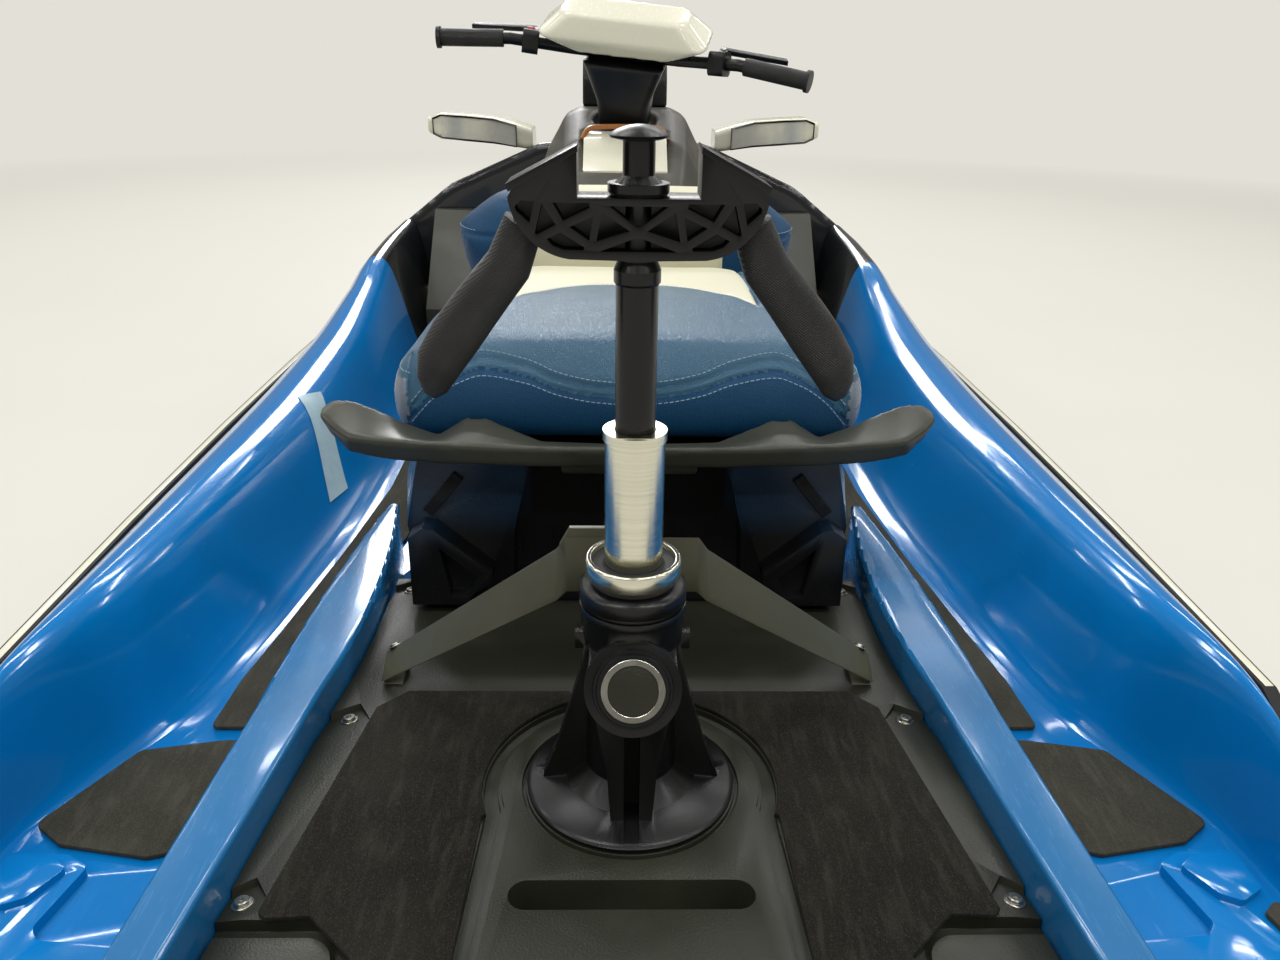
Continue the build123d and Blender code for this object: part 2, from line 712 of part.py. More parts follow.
def hood_block(gap, drop):
    """The space that the hood lid takes: its plan, above a sloping underside."""
    with BuildPart() as block:
        extrude(hood_plan(gap), amount=HIGH_TRIM_Z - LOW_TRIM_Z)
        with BuildSketch(Plane.YZ.offset(-WIDE)):
            with BuildLine():
                Polyline(
                    (HOOD_Y[0] - 20, HOOD_LOW_Z[0] - drop),
                    (HOOD_Y[1] + 20, HOOD_LOW_Z[1] - drop),
                    (HOOD_Y[1] + 20, HIGH_TRIM_Z),
                    (HOOD_Y[0] - 20, HIGH_TRIM_Z),
                    close=True,
                )
            make_face()
        extrude(amount=2 * WIDE, mode=Mode.INTERSECT)
    return block.part


def fill_nose():
    """The whole fore deck before the hood is cut from it."""
    loft_stations(NOSE_STATIONS, nose_outline)
    with BuildSketch(Plane.XY.offset(LOW_TRIM_Z)) as whole_plan:
        add(plan.sketch)
    extrude(whole_plan.sketch, amount=HIGH_TRIM_Z - LOW_TRIM_Z, mode=Mode.INTERSECT)
    extrude(under_bond.sketch, amount=2 * WIDE, dir=(1, 0, 0), mode=Mode.SUBTRACT)


hood_opening = hood_block(5, 1)
hood_space = hood_block(0, 0)

with BuildPart() as nose:
    fill_nose()
    add(hood_opening, mode=Mode.SUBTRACT)
    with BuildSketch(Plane.XY.offset(BIN_FLOOR_Z)):
        with Locations((0, sum(BIN_Y) / 2)):
            Rectangle(2 * BIN_HALF, BIN_Y[1] - BIN_Y[0])
    extrude(amount=HIGH_TRIM_Z, mode=Mode.SUBTRACT)
save(nose.part, "nose")

with BuildPart() as hood:
    fill_nose()
    add(hood_space, mode=Mode.INTERSECT)
save(hood.part, "hood")

# Console between seat and hood, with the glovebox
# (y, bottom half width, waist half width, top half width, shoulder z, top z)
CONSOLE_STATIONS = [
    (-58, 214, 205, 110, 470, 560),
    (60, 226, 205, 125, 540, 640),
    (200, 240, 210, 130, 590, 690),
    (330, 250, 215, 130, 600, 690),
    (SHEER_START_Y - 1, 260, 220, 130, 560, 640),
]
GLOVEBOX_Y = (-20, 96)
GLOVEBOX_HALF = 85


def console_outline(bottom, waist, top, shoulder_z, top_z):
    return symmetric(
        [
            (0, PAN_TOP),
            (bottom, PAN_TOP),
            (waist, 330),
            (top + 45, shoulder_z),
            (top, top_z - 14),
            (top - 30, top_z),
            (0, top_z),
        ]
    )


def glovebox_block(gap, drop):
    """Space of the glovebox lid: its plan, above a plane that follows the sloping top."""
    low_y, low_z = GLOVEBOX_Y[0] - 20, 571 - drop
    high_y, high_z = GLOVEBOX_Y[1] + 20, 650 - drop
    with BuildPart() as block:
        with BuildSketch(Plane.XY.offset(400)):
            with Locations((0, sum(GLOVEBOX_Y) / 2)):
                Rectangle(2 * (GLOVEBOX_HALF + gap), GLOVEBOX_Y[1] - GLOVEBOX_Y[0] + 2 * gap)
        extrude(amount=400)
        with BuildSketch(Plane.YZ.offset(-WIDE)):
            with BuildLine():
                Polyline(
                    (low_y, low_z), (high_y, high_z), (high_y, HIGH_TRIM_Z), (low_y, HIGH_TRIM_Z), close=True
                )
            make_face()
        extrude(amount=2 * WIDE, mode=Mode.INTERSECT)
    return block.part


glovebox_opening = glovebox_block(5, 1)
glovebox_space = glovebox_block(0, 0)

with BuildPart() as console:
    loft_stations(CONSOLE_STATIONS, console_outline)
    add(glovebox_opening, mode=Mode.SUBTRACT)
    with BuildSketch(Plane.XY.offset(440)):
        with Locations((0, 40)):
            Rectangle(130, 86)
    extrude(amount=300, mode=Mode.SUBTRACT)
    # clear of the engine bay
    with BuildSketch(Plane.XY.offset(PAN_TOP - 5)):
        with Locations((0, 40)):
            Rectangle(2 * BAY_HALF - 30, 2 * (BAY_Y[1] - 40))
    extrude(amount=160, mode=Mode.SUBTRACT)
    # seat of the steering column
    with BuildSketch(COLUMN_PLANE):
        Circle(66)
    extrude(amount=60, both=True, mode=Mode.SUBTRACT)
save(console.part, "console")

with BuildPart() as glovebox_lid:
    loft_stations(CONSOLE_STATIONS, console_outline)
    add(glovebox_space, mode=Mode.INTERSECT)
save(glovebox_lid.part, "glovebox_lid")

# Side panels that close the footwells at the front
with BuildPart() as footwell_panel:
    with BuildSketch(Plane.YZ.offset(262)):
        with BuildLine():
            Polyline(
                (SHEER_START_Y - 1, PAN_TOP),
                (SHEER_START_Y - 1, 440),
                (420, 440),
                (215, PAN_TOP + 95),
                (215, PAN_TOP),
                close=True,
            )
        make_face()
    extrude(amount=200)
    add(gunwale.part, mode=Mode.SUBTRACT)
save(both_sides(footwell_panel.part), "footwell_panels")

# Mirrors: wings on both sides of the hood
# (x, middle y, middle z, depth, height)
MIRROR_STATIONS = [
    (225, 560, 600, 120, 50),
    (315, 515, 622, 110, 62),
    (438, 470, 634, 96, 60),
    (468, 455, 636, 60, 36),
]
with BuildPart() as mirror_shell:
    for x, y, z, depth, height in faired(MIRROR_STATIONS, 50):
        with BuildSketch(Plane.YZ.offset(x)):
            with Locations((y, z)):
                RectangleRounded(depth, height, 12)
    loft(ruled=True)
    loft_stations(NOSE_STATIONS, nose_outline, mode=Mode.SUBTRACT)
save_pair(mirror_shell.part, "mirror")

# Gauge pod ahead of the bars
with BuildPart() as gauge_pod:
    with BuildSketch(Plane.YZ.offset(-95)):
        with BuildLine():
            Polyline(
                (300, 692), (310, 748), (336, 790), (352, 790), (440, 690), (440, 640), (330, 640), close=True
            )
        make_face()
    extrude(amount=190)
    loft_stations(CONSOLE_STATIONS, console_outline, mode=Mode.SUBTRACT)
save(gauge_pod.part, "gauge_pod")

# Steering: neck, tube, pad, grips, pods and levers, all turned together about the column
COLUMN_AXIS = Axis(COLUMN_POINT, tuple(COLUMN_PLANE.z_dir))
BAR_RISE = 110  # bar tube above the column point, along the column
GRIP_IN = 235
GRIP_OUT = 372
BAR_R = 11.5

with BuildPart() as steering_neck:
    with BuildSketch(COLUMN_PLANE.offset(-40)):
        RectangleRounded(100, 84, 20)
    with BuildSketch(COLUMN_PLANE.offset(20)):
        RectangleRounded(110, 90, 20)
    with BuildSketch(COLUMN_PLANE.offset(BAR_RISE - BAR_R)):
        RectangleRounded(170, 80, 20)
    loft(ruled=True)

BAR_POINTS = [
    COLUMN_PLANE.from_local_coords(point)
    for point in (
        (-GRIP_OUT, -60, BAR_RISE + 18),
        (-GRIP_IN, -28, BAR_RISE + 18),
        (-110, 0, BAR_RISE),
        (110, 0, BAR_RISE),
        (GRIP_IN, -28, BAR_RISE + 18),
        (GRIP_OUT, -60, BAR_RISE + 18),
    )
]
with BuildPart() as handlebar:
    for start, end in zip(BAR_POINTS, BAR_POINTS[1:]):
        with BuildSketch(Plane(start, z_dir=end - start)):
            Circle(BAR_R)
        extrude(amount=(end - start).length)
    with Locations(*BAR_POINTS[1:-1]):
        Sphere(BAR_R)

with BuildPart() as bar_pad:
    with BuildSketch(COLUMN_PLANE.offset(BAR_RISE + BAR_R + 1)):
        RectangleRounded(200, 90, 20)
    with BuildSketch(COLUMN_PLANE.offset(BAR_RISE + 45)):
        RectangleRounded(350, 130, 30)
    with BuildSketch(COLUMN_PLANE.offset(BAR_RISE + 90)):
        RectangleRounded(250, 90, 30)
    loft(ruled=True)

GRIP_R = 17
with BuildPart() as hand_grip:
    grip_end = BAR_POINTS[-1]
    grip_direction = (grip_end - BAR_POINTS[-2]).normalized()
    grip_start = BAR_POINTS[-2] + grip_direction * 14
    with BuildSketch(Plane(grip_start, z_dir=grip_direction)):
        Circle(GRIP_R)
        Circle(BAR_R, mode=Mode.SUBTRACT)
    extrude(amount=(grip_end - grip_start).length)
    with BuildSketch(Plane(grip_end, z_dir=grip_direction)):
        Circle(GRIP_R + 4)
    extrude(amount=8)
    mirror(about=Plane.YZ)

POD_FROM = 72  # along the sloping length of tube, from its inner end
POD_LENGTH = 32
slope_direction = (BAR_POINTS[4] - BAR_POINTS[3]).normalized()
with BuildPart() as control_pod:
    with BuildSketch(Plane(BAR_POINTS[3] + slope_direction * POD_FROM, z_dir=slope_direction)):
        RectangleRounded(46, 46, 12)
        Circle(BAR_R + CLEARANCE, mode=Mode.SUBTRACT)
    extrude(amount=POD_LENGTH)
    with BuildSketch(COLUMN_PLANE.offset(BAR_RISE + 12)) as lever_plan:
        with BuildLine():
            Polyline(
                (GRIP_IN - 52, 0),
                (GRIP_IN - 44, 40),
                (GRIP_IN + 90, 20),
                (GRIP_IN + 94, 8),
                (GRIP_IN - 30, 24),
                (GRIP_IN - 32, 0),
                close=True,
            )
        make_face()
    extrude(amount=9)
    mirror(about=Plane.YZ)

turned = {
    "steering_neck": steering_neck.part,
    "handlebar": handlebar.part,
    "bar_pad": bar_pad.part,
    "hand_grips": hand_grip.part,
    "control_pods": control_pod.part,
}
for name, part in turned.items():
    save(part.rotate(COLUMN_AXIS, STEER_REST), name)

# Tow mast base: a round foot, and a column with ribs on three sides
FOOT_TOP_Z = PLATFORM_Z + 12
COLUMN_R = 38
SLEEVE_FIT = SLEEVE_R + CLEARANCE
MAST_AXIS = Axis((0, MAST_Y, 0), (0, 0, 1))
KNOB_PLANE = Plane(
    (0, MAST_Y - 58, 343), x_dir=(1, 0, 0), z_dir=(0, -cos(radians(22)), sin(radians(22)))
)
# (z, radius) from the platform up to the bearing ring
BASE_PROFILE = [
    (SPINE_TOP_Z, 0),
    (SPINE_TOP_Z, FOOT_R - 1),
    (SPINE_TOP_Z + 2, FOOT_R),
    (FOOT_TOP_Z - 3, FOOT_R),
    (FOOT_TOP_Z, FOOT_R - 4),
    (FOOT_TOP_Z + 4, 58),
    (FOOT_TOP_Z + 20, COLUMN_R + 2),
    (340, COLUMN_R),
    (372, 43.5),
    (386, 43.5),
    (387, 44.5),
    (393, 44.5),
    (393, 42),
    (397, 42),
    (397, 44.5),
    (408, 44.5),
    (411, 41),
    (412, 35),
    (BASE_TOP_Z, 35),
    (BASE_TOP_Z, 0),
]
# (z, half width, reach aft of the mast) of the aft rib
AFT_RIB = [(SPINE_TOP_Z + 4, 17, 66), (262, 21, 60), (310, 30, 57), (358, 36, 50)]
with BuildPart() as mast_base:
    with BuildSketch(Plane.XZ.offset(-MAST_Y)):
        with BuildLine():
            Polyline(*[(radius, z) for z, radius in BASE_PROFILE], close=True)
        make_face()
    revolve(axis=MAST_AXIS)
    # ribs on both sides
    with BuildSketch(Plane.XZ.offset(-(MAST_Y + 7))):
        with BuildLine():
            Polyline(
                (0, 352),
                (41, 352),
                (45, 322),
                (64, 252),
                (78, FOOT_TOP_Z + 3),
                (78, SPINE_TOP_Z + 4),
                (0, SPINE_TOP_Z + 4),
                close=True,
            )
        make_face()
        mirror(about=Plane.YZ)
    extrude(amount=14)
    # small ears under the collar
    with Locations((0, MAST_Y, 356)):
        Box(97, 12, 16)
    for z, half, reach in AFT_RIB:
        with BuildSketch(Plane.XY.offset(z)):
            with Locations((0, MAST_Y)):
                Rectangle(2 * half, reach, align=(Align.CENTER, Align.MAX))
    loft(ruled=True)
    # boss for the knob
    with BuildSketch(KNOB_PLANE.offset(-34)):
        Circle(39.5)
    extrude(amount=34)
    # groove between the two blades of the aft rib
    with BuildSketch(Plane.XY.offset(FOOT_TOP_Z)):
        with Locations((0, MAST_Y - 40)):
            Rectangle(13, 80, align=(Align.CENTER, Align.MAX))
    extrude(amount=86, mode=Mode.SUBTRACT)
    # bore of the sleeve, open below into the platform panel
    with BuildSketch(Plane.XY.offset(SPINE_TOP_Z - 1)):
        with Locations((0, MAST_Y)):
            Circle(SLEEVE_FIT)
    extrude(amount=BASE_TOP_Z - SPINE_TOP_Z + 2, mode=Mode.SUBTRACT)
save(mast_base.part, "mast_base")

# Bearing ring on top, with a recessed seal
RING_R = 39.4
RING_TOP_Z = BASE_TOP_Z + 15
with BuildPart() as bearing_ring:
    with BuildSketch(Plane.XZ.offset(-MAST_Y)):
        with BuildLine():
            Polyline(
                (SLEEVE_FIT, BASE_TOP_Z),
                (RING_R, BASE_TOP_Z),
                (RING_R, RING_TOP_Z - 1.2),
                (RING_R - 1.2, RING_TOP_Z),
                (RING_R - 4.5, RING_TOP_Z),
                (RING_R - 5.5, RING_TOP_Z - 4),
                (SLEEVE_FIT + 2, RING_TOP_Z - 6),
                (SLEEVE_FIT, RING_TOP_Z - 4),
                close=True,
            )
        make_face()
    revolve(axis=MAST_AXIS)
save(bearing_ring.part, "bearing_ring")

# Lock knob: a domed button in a ring
with BuildPart() as lock_knob:
    with BuildSketch(KNOB_PLANE):
        Circle(33)
    extrude(amount=5, taper=12)
    with BuildSketch(KNOB_PLANE.offset(5)):
        Circle(30)
    extrude(amount=3, taper=20)
save(lock_knob.part, "lock_knob")

# Brace: two arms of bent plate from behind the collar down to the platform
# (x, upper y, upper z, lower y, lower z)
BRACE_STATIONS = [
    (0, -1341, 424, -1341, 372),
    (58, -1341, 424, -1341, 370),
    (67, -1332, 408, -1343, 362),
    (257, -1210, 222, -1243, 206),
]
BRACE_THICKNESS = 9
with BuildPart() as mast_brace:
    for x, upper_y, upper_z, lower_y, lower_z in BRACE_STATIONS:
        with BuildSketch(Plane.YZ.offset(x)):
            with BuildLine():
                Polyline(
                    (upper_y, upper_z),
                    (lower_y, lower_z),
                    (lower_y + BRACE_THICKNESS, lower_z - 5),
                    (upper_y + BRACE_THICKNESS, upper_z - 5),
                    close=True,
                )
            make_face()
    loft(ruled=True)
    # foot, bolted down beside the rail
    with BuildSketch(Plane.YZ.offset(236)):
        with BuildLine():
            Polyline((-1238, PLATFORM_Z), (-1200, PLATFORM_Z), (-1206, 214), (-1230, 206), close=True)
        make_face()
    extrude(amount=20)
    mirror(about=Plane.YZ)
    # catch plate behind the sleeve
    with BuildSketch(Plane.XZ.offset(1334)):
        with BuildLine():
            Polyline((-55, 432), (-64, 415), (-54, 402), (22, 402), (22, 432), close=True)
        make_face()
    extrude(amount=6)
    # clamp round the column, under the collar
    with BuildSketch(Plane.XY.offset(374)):
        with Locations((0, MAST_Y)):
            Rectangle(70, 64, align=(Align.CENTER, Align.MIN))
            Circle(43.8, mode=Mode.SUBTRACT)
    extrude(amount=12)
save(mast_brace.part, "mast_brace")

# Outer sleeve, with a rim that has flats for a wrench
SLEEVE_LENGTH = 195
RIM_R = 25.2
with BuildPart() as mast_sleeve:
    with Locations((0, MAST_Y, SLEEVE_TOP_Z)):
        Cylinder(SLEEVE_R, SLEEVE_LENGTH, align=(Align.CENTER, Align.CENTER, Align.MAX))
    with BuildSketch(Plane.XY.offset(SLEEVE_TOP_Z - 7)) as rim:
        with Locations((0, MAST_Y)):
            Circle(RIM_R)
            Rectangle(2 * RIM_R, 43, mode=Mode.INTERSECT)
    extrude(amount=8)
    with Locations((0, MAST_Y, SLEEVE_TOP_Z)):
        Cylinder(SLEEVE_BORE_R, 3 * SLEEVE_LENGTH, mode=Mode.SUBTRACT)
save(mast_sleeve.part, "mast_sleeve")

# Inner tube, with a collar under the head
TUBE_BOTTOM_Z = SLEEVE_TOP_Z - 96
with BuildPart() as mast_tube:
    with BuildSketch(Plane.XZ.offset(-MAST_Y)):
        with BuildLine():
            Polyline(
                (0, TUBE_BOTTOM_Z),
                (MAST_R - 1, TUBE_BOTTOM_Z),
                (MAST_R, TUBE_BOTTOM_Z + 1),
                (MAST_R, HEAD_Z - 20),
                (17.4, HEAD_Z - 18),
                (17.4, HEAD_Z - 9),
                (14.5, HEAD_Z - 2),
                (14.5, HEAD_Z),
                (0, HEAD_Z),
                close=True,
            )
        make_face()
    revolve(axis=MAST_AXIS)
save(mast_tube.part, "mast_tube")

# Mast head: a moulded truss bar with two horns and a notch between them
HEAD_DEPTH = 38
NOTCH_HALF = 43
NOTCH_Z = 43
TRUSS_DEPTH = 15
# Truss pockets as (x, z) from the mast axis and the underside, on the starboard half
TRUSS_POCKETS = [
    [(86, 37), (82, 41), (72.5, 41), (76, 26), (85, 34)],
    [(67.3, 39.5), (72.6, 19), (71, 18), (57.8, 25)],
    [(59.8, 40), (34.5, 40), (34.2, 36.7), (52.7, 27.6)],
    [(31.7, 31), (34.5, 14.2), (48.3, 23.5)],
    [(54.8, 19.8), (37.8, 9.4), (38.8, 7.4), (52.7, 7.6), (60.3, 10.6), (64.3, 15)],
    [(25.5, 34), (29.6, 13.6), (6.2, 21)],
]
MIDDLE_POCKETS = [
    [(-20.4, 38), (20.4, 38), (1.8, 23.6), (-1.8, 23.6)],
    [(-27.6, 6.6), (-2.5, 16), (2.5, 16), (27.6, 6.6)],
]
port_pockets = [[(-x, z) for x, z in pocket] for pocket in TRUSS_POCKETS]
with BuildPart() as mast_head:
    with BuildSketch(Plane.XZ.offset(-(MAST_Y + HEAD_DEPTH / 2))):
        with BuildLine():
            Line((0, HEAD_Z), (48, HEAD_Z + 1))
            ThreePointArc((48, HEAD_Z + 1), (76, HEAD_Z + 14), (91, HEAD_Z + 43))
            Polyline(
                (91, HEAD_Z + 43),
                (87, HEAD_Z + 50),
                (NOTCH_HALF, HEAD_Z + 73),
                (NOTCH_HALF, HEAD_Z + NOTCH_Z),
                (0, HEAD_Z + NOTCH_Z),
                (0, HEAD_Z),
            )
        make_face()
        mirror(about=Plane.YZ)
    extrude(amount=HEAD_DEPTH)
    for face_y in (MAST_Y - HEAD_DEPTH / 2, MAST_Y + HEAD_DEPTH / 2):
        inward = -1 if face_y < MAST_Y else 1
        for pocket in [*TRUSS_POCKETS, *port_pockets, *MIDDLE_POCKETS]:
            with BuildSketch(Plane.XZ.offset(-face_y)):
                with BuildLine():
                    Polyline(*[(x, HEAD_Z + z) for x, z in pocket], close=True)
                make_face()
            extrude(amount=inward * TRUSS_DEPTH, mode=Mode.SUBTRACT)
    # core that the tube's bolt runs through
    with Locations((0, MAST_Y, HEAD_Z)):
        Cylinder(10, NOTCH_Z, align=(Align.CENTER, Align.CENTER, Align.MIN))
    # lips along the tops of the horns
    for side in (-1, 1):
        with BuildSketch(Plane.XZ.offset(-(MAST_Y + HEAD_DEPTH / 2 + 2))):
            with BuildLine():
                Polyline(
                    (side * 92, HEAD_Z + 52),
                    (side * 43, HEAD_Z + 78),
                    (side * (NOTCH_HALF - 1), HEAD_Z + 74),
                    (side * 90, HEAD_Z + 47),
                    close=True,
                )
            make_face()
        extrude(amount=HEAD_DEPTH + 4)
save(mast_head.part, "mast_head")

# Rope spool with a mushroom cap
with BuildPart() as rope_spool:
    with BuildSketch(Plane.XZ.offset(-MAST_Y)):
        with BuildLine():
            Polyline(
                (11.5, HEAD_Z + 80),
                (11.5, HEAD_Z + 57),
                (17, HEAD_Z + 52),
                (22, HEAD_Z + 52),
                (22, HEAD_Z + NOTCH_Z + 3),
                (20, HEAD_Z + NOTCH_Z),
                (0, HEAD_Z + NOTCH_Z),
                (0, HEAD_Z + 91),
            )
            ThreePointArc((0, HEAD_Z + 91), (12, HEAD_Z + 89), (21.5, HEAD_Z + 84))
            Polyline((21.5, HEAD_Z + 84), (20, HEAD_Z + 82), (11.5, HEAD_Z + 80))
        make_face()
    revolve(axis=MAST_AXIS)
save(rope_spool.part, "rope_spool")

# Side grips of the mast head, hanging down and out
# (x, reach aft, z over the underside, width, depth)
MAST_GRIP_STATIONS = [
    (82, 0, 22, 30, 30),
    (93, -1, -6, 34, 36),
    (110, -3, -27, 36, 38),
    (132, -6, -56, 38, 40),
    (146, -8, -77, 35, 36),
    (152, -9, -93, 26, 27),
    (155, -9, -102, 12, 13),
]
with BuildPart() as mast_grip:
    for x, aft, z, width, depth in faired(MAST_GRIP_STATIONS, 12):
        grip_plane = Plane(
            (x, MAST_Y + aft, HEAD_Z + z), x_dir=(0.84, 0, 0.54), z_dir=(0.54, 0, -0.84)
        )
        with BuildSketch(grip_plane):
            RectangleRounded(width, depth, 0.36 * width)
    loft(ruled=True)
    add(mast_head.part, mode=Mode.SUBTRACT)
save(both_sides(mast_grip.part), "mast_grips")

# Jet pump: flange, housing and venturi with stator vanes
PUMP_AXIS = Axis((0, 0, PUMP_Z), (0, 1, 0))


def pump_profile(*points):
    """Closed half profile beside the pump axis, from (y, radius) pairs."""
    with BuildSketch(Plane.YZ) as profile:
        with BuildLine():
            Polyline(*[(y, PUMP_Z + radius) for y, radius in points], close=True)
        make_face()
    return profile.sketch


with BuildPart() as jet_pump:
    revolve(
        pump_profile(
            (PUMP_FLANGE_Y - 0.1, PUMP_BORE_R),
            (PUMP_FLANGE_Y - 0.1, 108),
            (-1166, 108),
            (-1166, 96),
            (-1420, 96),
            (-1460, 80),
            (-1512, 50),
            (-1556, 46),
            (-1556, 40),
            (-1505, 43),
            (-1430, PUMP_BORE_R),
        ),
        axis=PUMP_AXIS,
    )
    revolve(pump_profile((-1330, 0), (-1330, 30), (-1430, 28), (-1480, 0)), axis=PUMP_AXIS)
    for vane in range(7):
        angle = radians(vane * 360 / 7)
        vane_plane = Plane((0, -1380, PUMP_Z), x_dir=(cos(angle), 0, sin(angle)), z_dir=(0, 1, 0))
        with BuildSketch(vane_plane):
            with Locations((55, 0)):
                Rectangle(60, 5)
        extrude(amount=38, both=True)
    # lugs that carry the steering nozzle, and studs that carry the gate
    for side in (-1, 1):
        with Locations((0, -1530, PUMP_Z + side * 86)):
            Box(30, 100, 12)
        with Locations((0, -1480, PUMP_Z + side * 77)):
            Box(30, 20, 30)
        with BuildSketch(Plane.YZ.offset(side * 58)):
            with Locations((GATE_PIVOT_Y, PUMP_Z)):
                Circle(11)
        extrude(amount=side * 39.7)
save(jet_pump.part, "jet_pump")

with BuildPart() as steering_nozzle:
    revolve(
        pump_profile((-1550, 68), (-1550, 74), (-1610, 72), (-1675, 52), (-1675, 44), (-1606, 64)),
        axis=PUMP_AXIS,
    )
    with Locations((0, NOZZLE_PIVOT_Y, PUMP_Z)):
        Cylinder(10, 2 * (80 - CLEARANCE))
    with BuildSketch(Plane.XZ.offset(1500)):
        with Locations((0, PUMP_Z)):
            Circle(64)
    extrude(amount=106, mode=Mode.SUBTRACT)
NOZZLE_AXIS = Axis((0, NOZZLE_PIVOT_Y, PUMP_Z), (0, 0, 1))
save(steering_nozzle.part.rotate(NOZZLE_AXIS, STEER_REST * NOZZLE_RATIO), "steering_nozzle")

GATE_IN_R = 205
GATE_OUT_R = 212
GATE_HALF = 106
GATE_FROM = 20
GATE_TO = 78
with BuildPart() as reverse_gate:
    with BuildSketch(Plane.YZ.offset(-GATE_HALF)) as gate_side:
        with BuildLine():
            outer_arc = [
                (GATE_PIVOT_Y - GATE_OUT_R * cos(radians(a)), PUMP_Z + GATE_OUT_R * sin(radians(a)))
                for a in (GATE_FROM, (GATE_FROM + GATE_TO) / 2, GATE_TO)
            ]
            inner_arc = [
                (GATE_PIVOT_Y - GATE_IN_R * cos(radians(a)), PUMP_Z + GATE_IN_R * sin(radians(a)))
                for a in (GATE_TO, (GATE_FROM + GATE_TO) / 2, GATE_FROM)
            ]
            ThreePointArc(*outer_arc)
            Line(outer_arc[-1], inner_arc[0])
            ThreePointArc(*inner_arc)
            Line(inner_arc[-1], outer_arc[0])
        make_face()
    extrude(amount=2 * GATE_HALF)
    for x in (-GATE_HALF, GATE_HALF - 8):
        with BuildSketch(Plane.YZ.offset(x)):
            with BuildLine():
                ThreePointArc(*outer_arc)
                Polyline(
                    outer_arc[-1],
                    (GATE_PIVOT_Y + 14, PUMP_Z + 14),
                    (GATE_PIVOT_Y + 14, PUMP_Z - 16),
                    (GATE_PIVOT_Y - 14, PUMP_Z - 16),
                    outer_arc[0],
                )
            make_face()
        extrude(amount=8)
save(reverse_gate.part, "reverse_gate")

# Impeller with its drive shaft
IMPELLER_R = 76
BLADE_TURN = 38
with BuildPart() as impeller:
    revolve(pump_profile((-1180, 0), (-1180, 24), (-1300, 30), (-1326, 30), (-1326, 0)), axis=PUMP_AXIS)
    revolve(pump_profile((-984, 0), (-984, 14), (-1181, 14), (-1181, 0)), axis=PUMP_AXIS)
    for blade in range(4):
        for y, turn in ((-1195, 0), (-1245, BLADE_TURN / 2), (-1295, BLADE_TURN)):
            angle = radians(blade * 90 + turn)
            blade_plane = Plane((0, y, PUMP_Z), x_dir=(cos(angle), 0, sin(angle)), z_dir=(0, 1, 0))
            with BuildSketch(blade_plane):
                with Locations(((18 + IMPELLER_R) / 2, 0)):
                    Rectangle(IMPELLER_R - 18, 6)
        loft()
save(impeller.part, "impeller")

# Ride plate under the tunnel and grate over the intake
with BuildPart() as ride_plate:
    with BuildSketch(Plane.XY.offset(KEEL_Z - 8)):
        with BuildLine():
            Polyline(
                (-124, -1152),
                (124, -1152),
                (124, -1500),
                (96, -1610),
                (-96, -1610),
                (-124, -1500),
                close=True,
            )
        make_face()
    extrude(amount=14)
    for x in (-60, 0, 60):
        with Locations((x, -1360, KEEL_Z - 11)):
            Box(8, 380, 8)
save(ride_plate.part, "ride_plate")

with BuildPart() as intake_grate:
    for x in (-51, -17, 17, 51):
        with Locations((x, -920, KEEL_Z + 14)):
            Box(10, 452, 12)
    for y in (-1140, -700):
        with Locations((0, y, KEEL_Z + 14)):
            Box(2 * DUCT_HALF - 1, 16, 12)
    with BuildSketch(Plane.XY.offset(LOW_TRIM_Z)):
        with Locations((0, -920)):
            Rectangle(2 * DUCT_HALF - 2, 456)
    extrude(amount=500, mode=Mode.INTERSECT)
    add(hull.part, mode=Mode.SUBTRACT)
save(intake_grate.part, "intake_grate")

# Sponsons on the hull sides
with BuildPart() as sponson:
    with BuildSketch(Plane.XZ.offset(900)) as sponson_front:
        with BuildLine():
            Polyline((552, -30), (606, -50), (613, -40), (588, 8), (572, 28), close=True)
        make_face()
    extrude(amount=520)
    add(hull.part, mode=Mode.SUBTRACT)
save(both_sides(sponson.part), "sponsons")

# Tow eyes at bow and stern
with BuildPart() as bow_eye:
    with BuildSketch(Plane.YZ.offset(-6)):
        with Locations((1628, 190)):
            Circle(24)
            Circle(13, mode=Mode.SUBTRACT)
    extrude(amount=12)
    add(hull.part, mode=Mode.SUBTRACT)
with BuildPart() as stern_eye:
    with BuildSketch(Plane.YZ.offset(-6)):
        with Locations((STERN_Y - 16, 112)):
            Circle(22)
            Circle(12, mode=Mode.SUBTRACT)
    extrude(amount=12)
    add(deck_pan.part, mode=Mode.SUBTRACT)
eyes = [bow_eye.part.solids().sort_by(Axis.Y)[-1], stern_eye.part.solids().sort_by(Axis.Y)[0]]
save(Part(children=eyes), "tow_eyes")

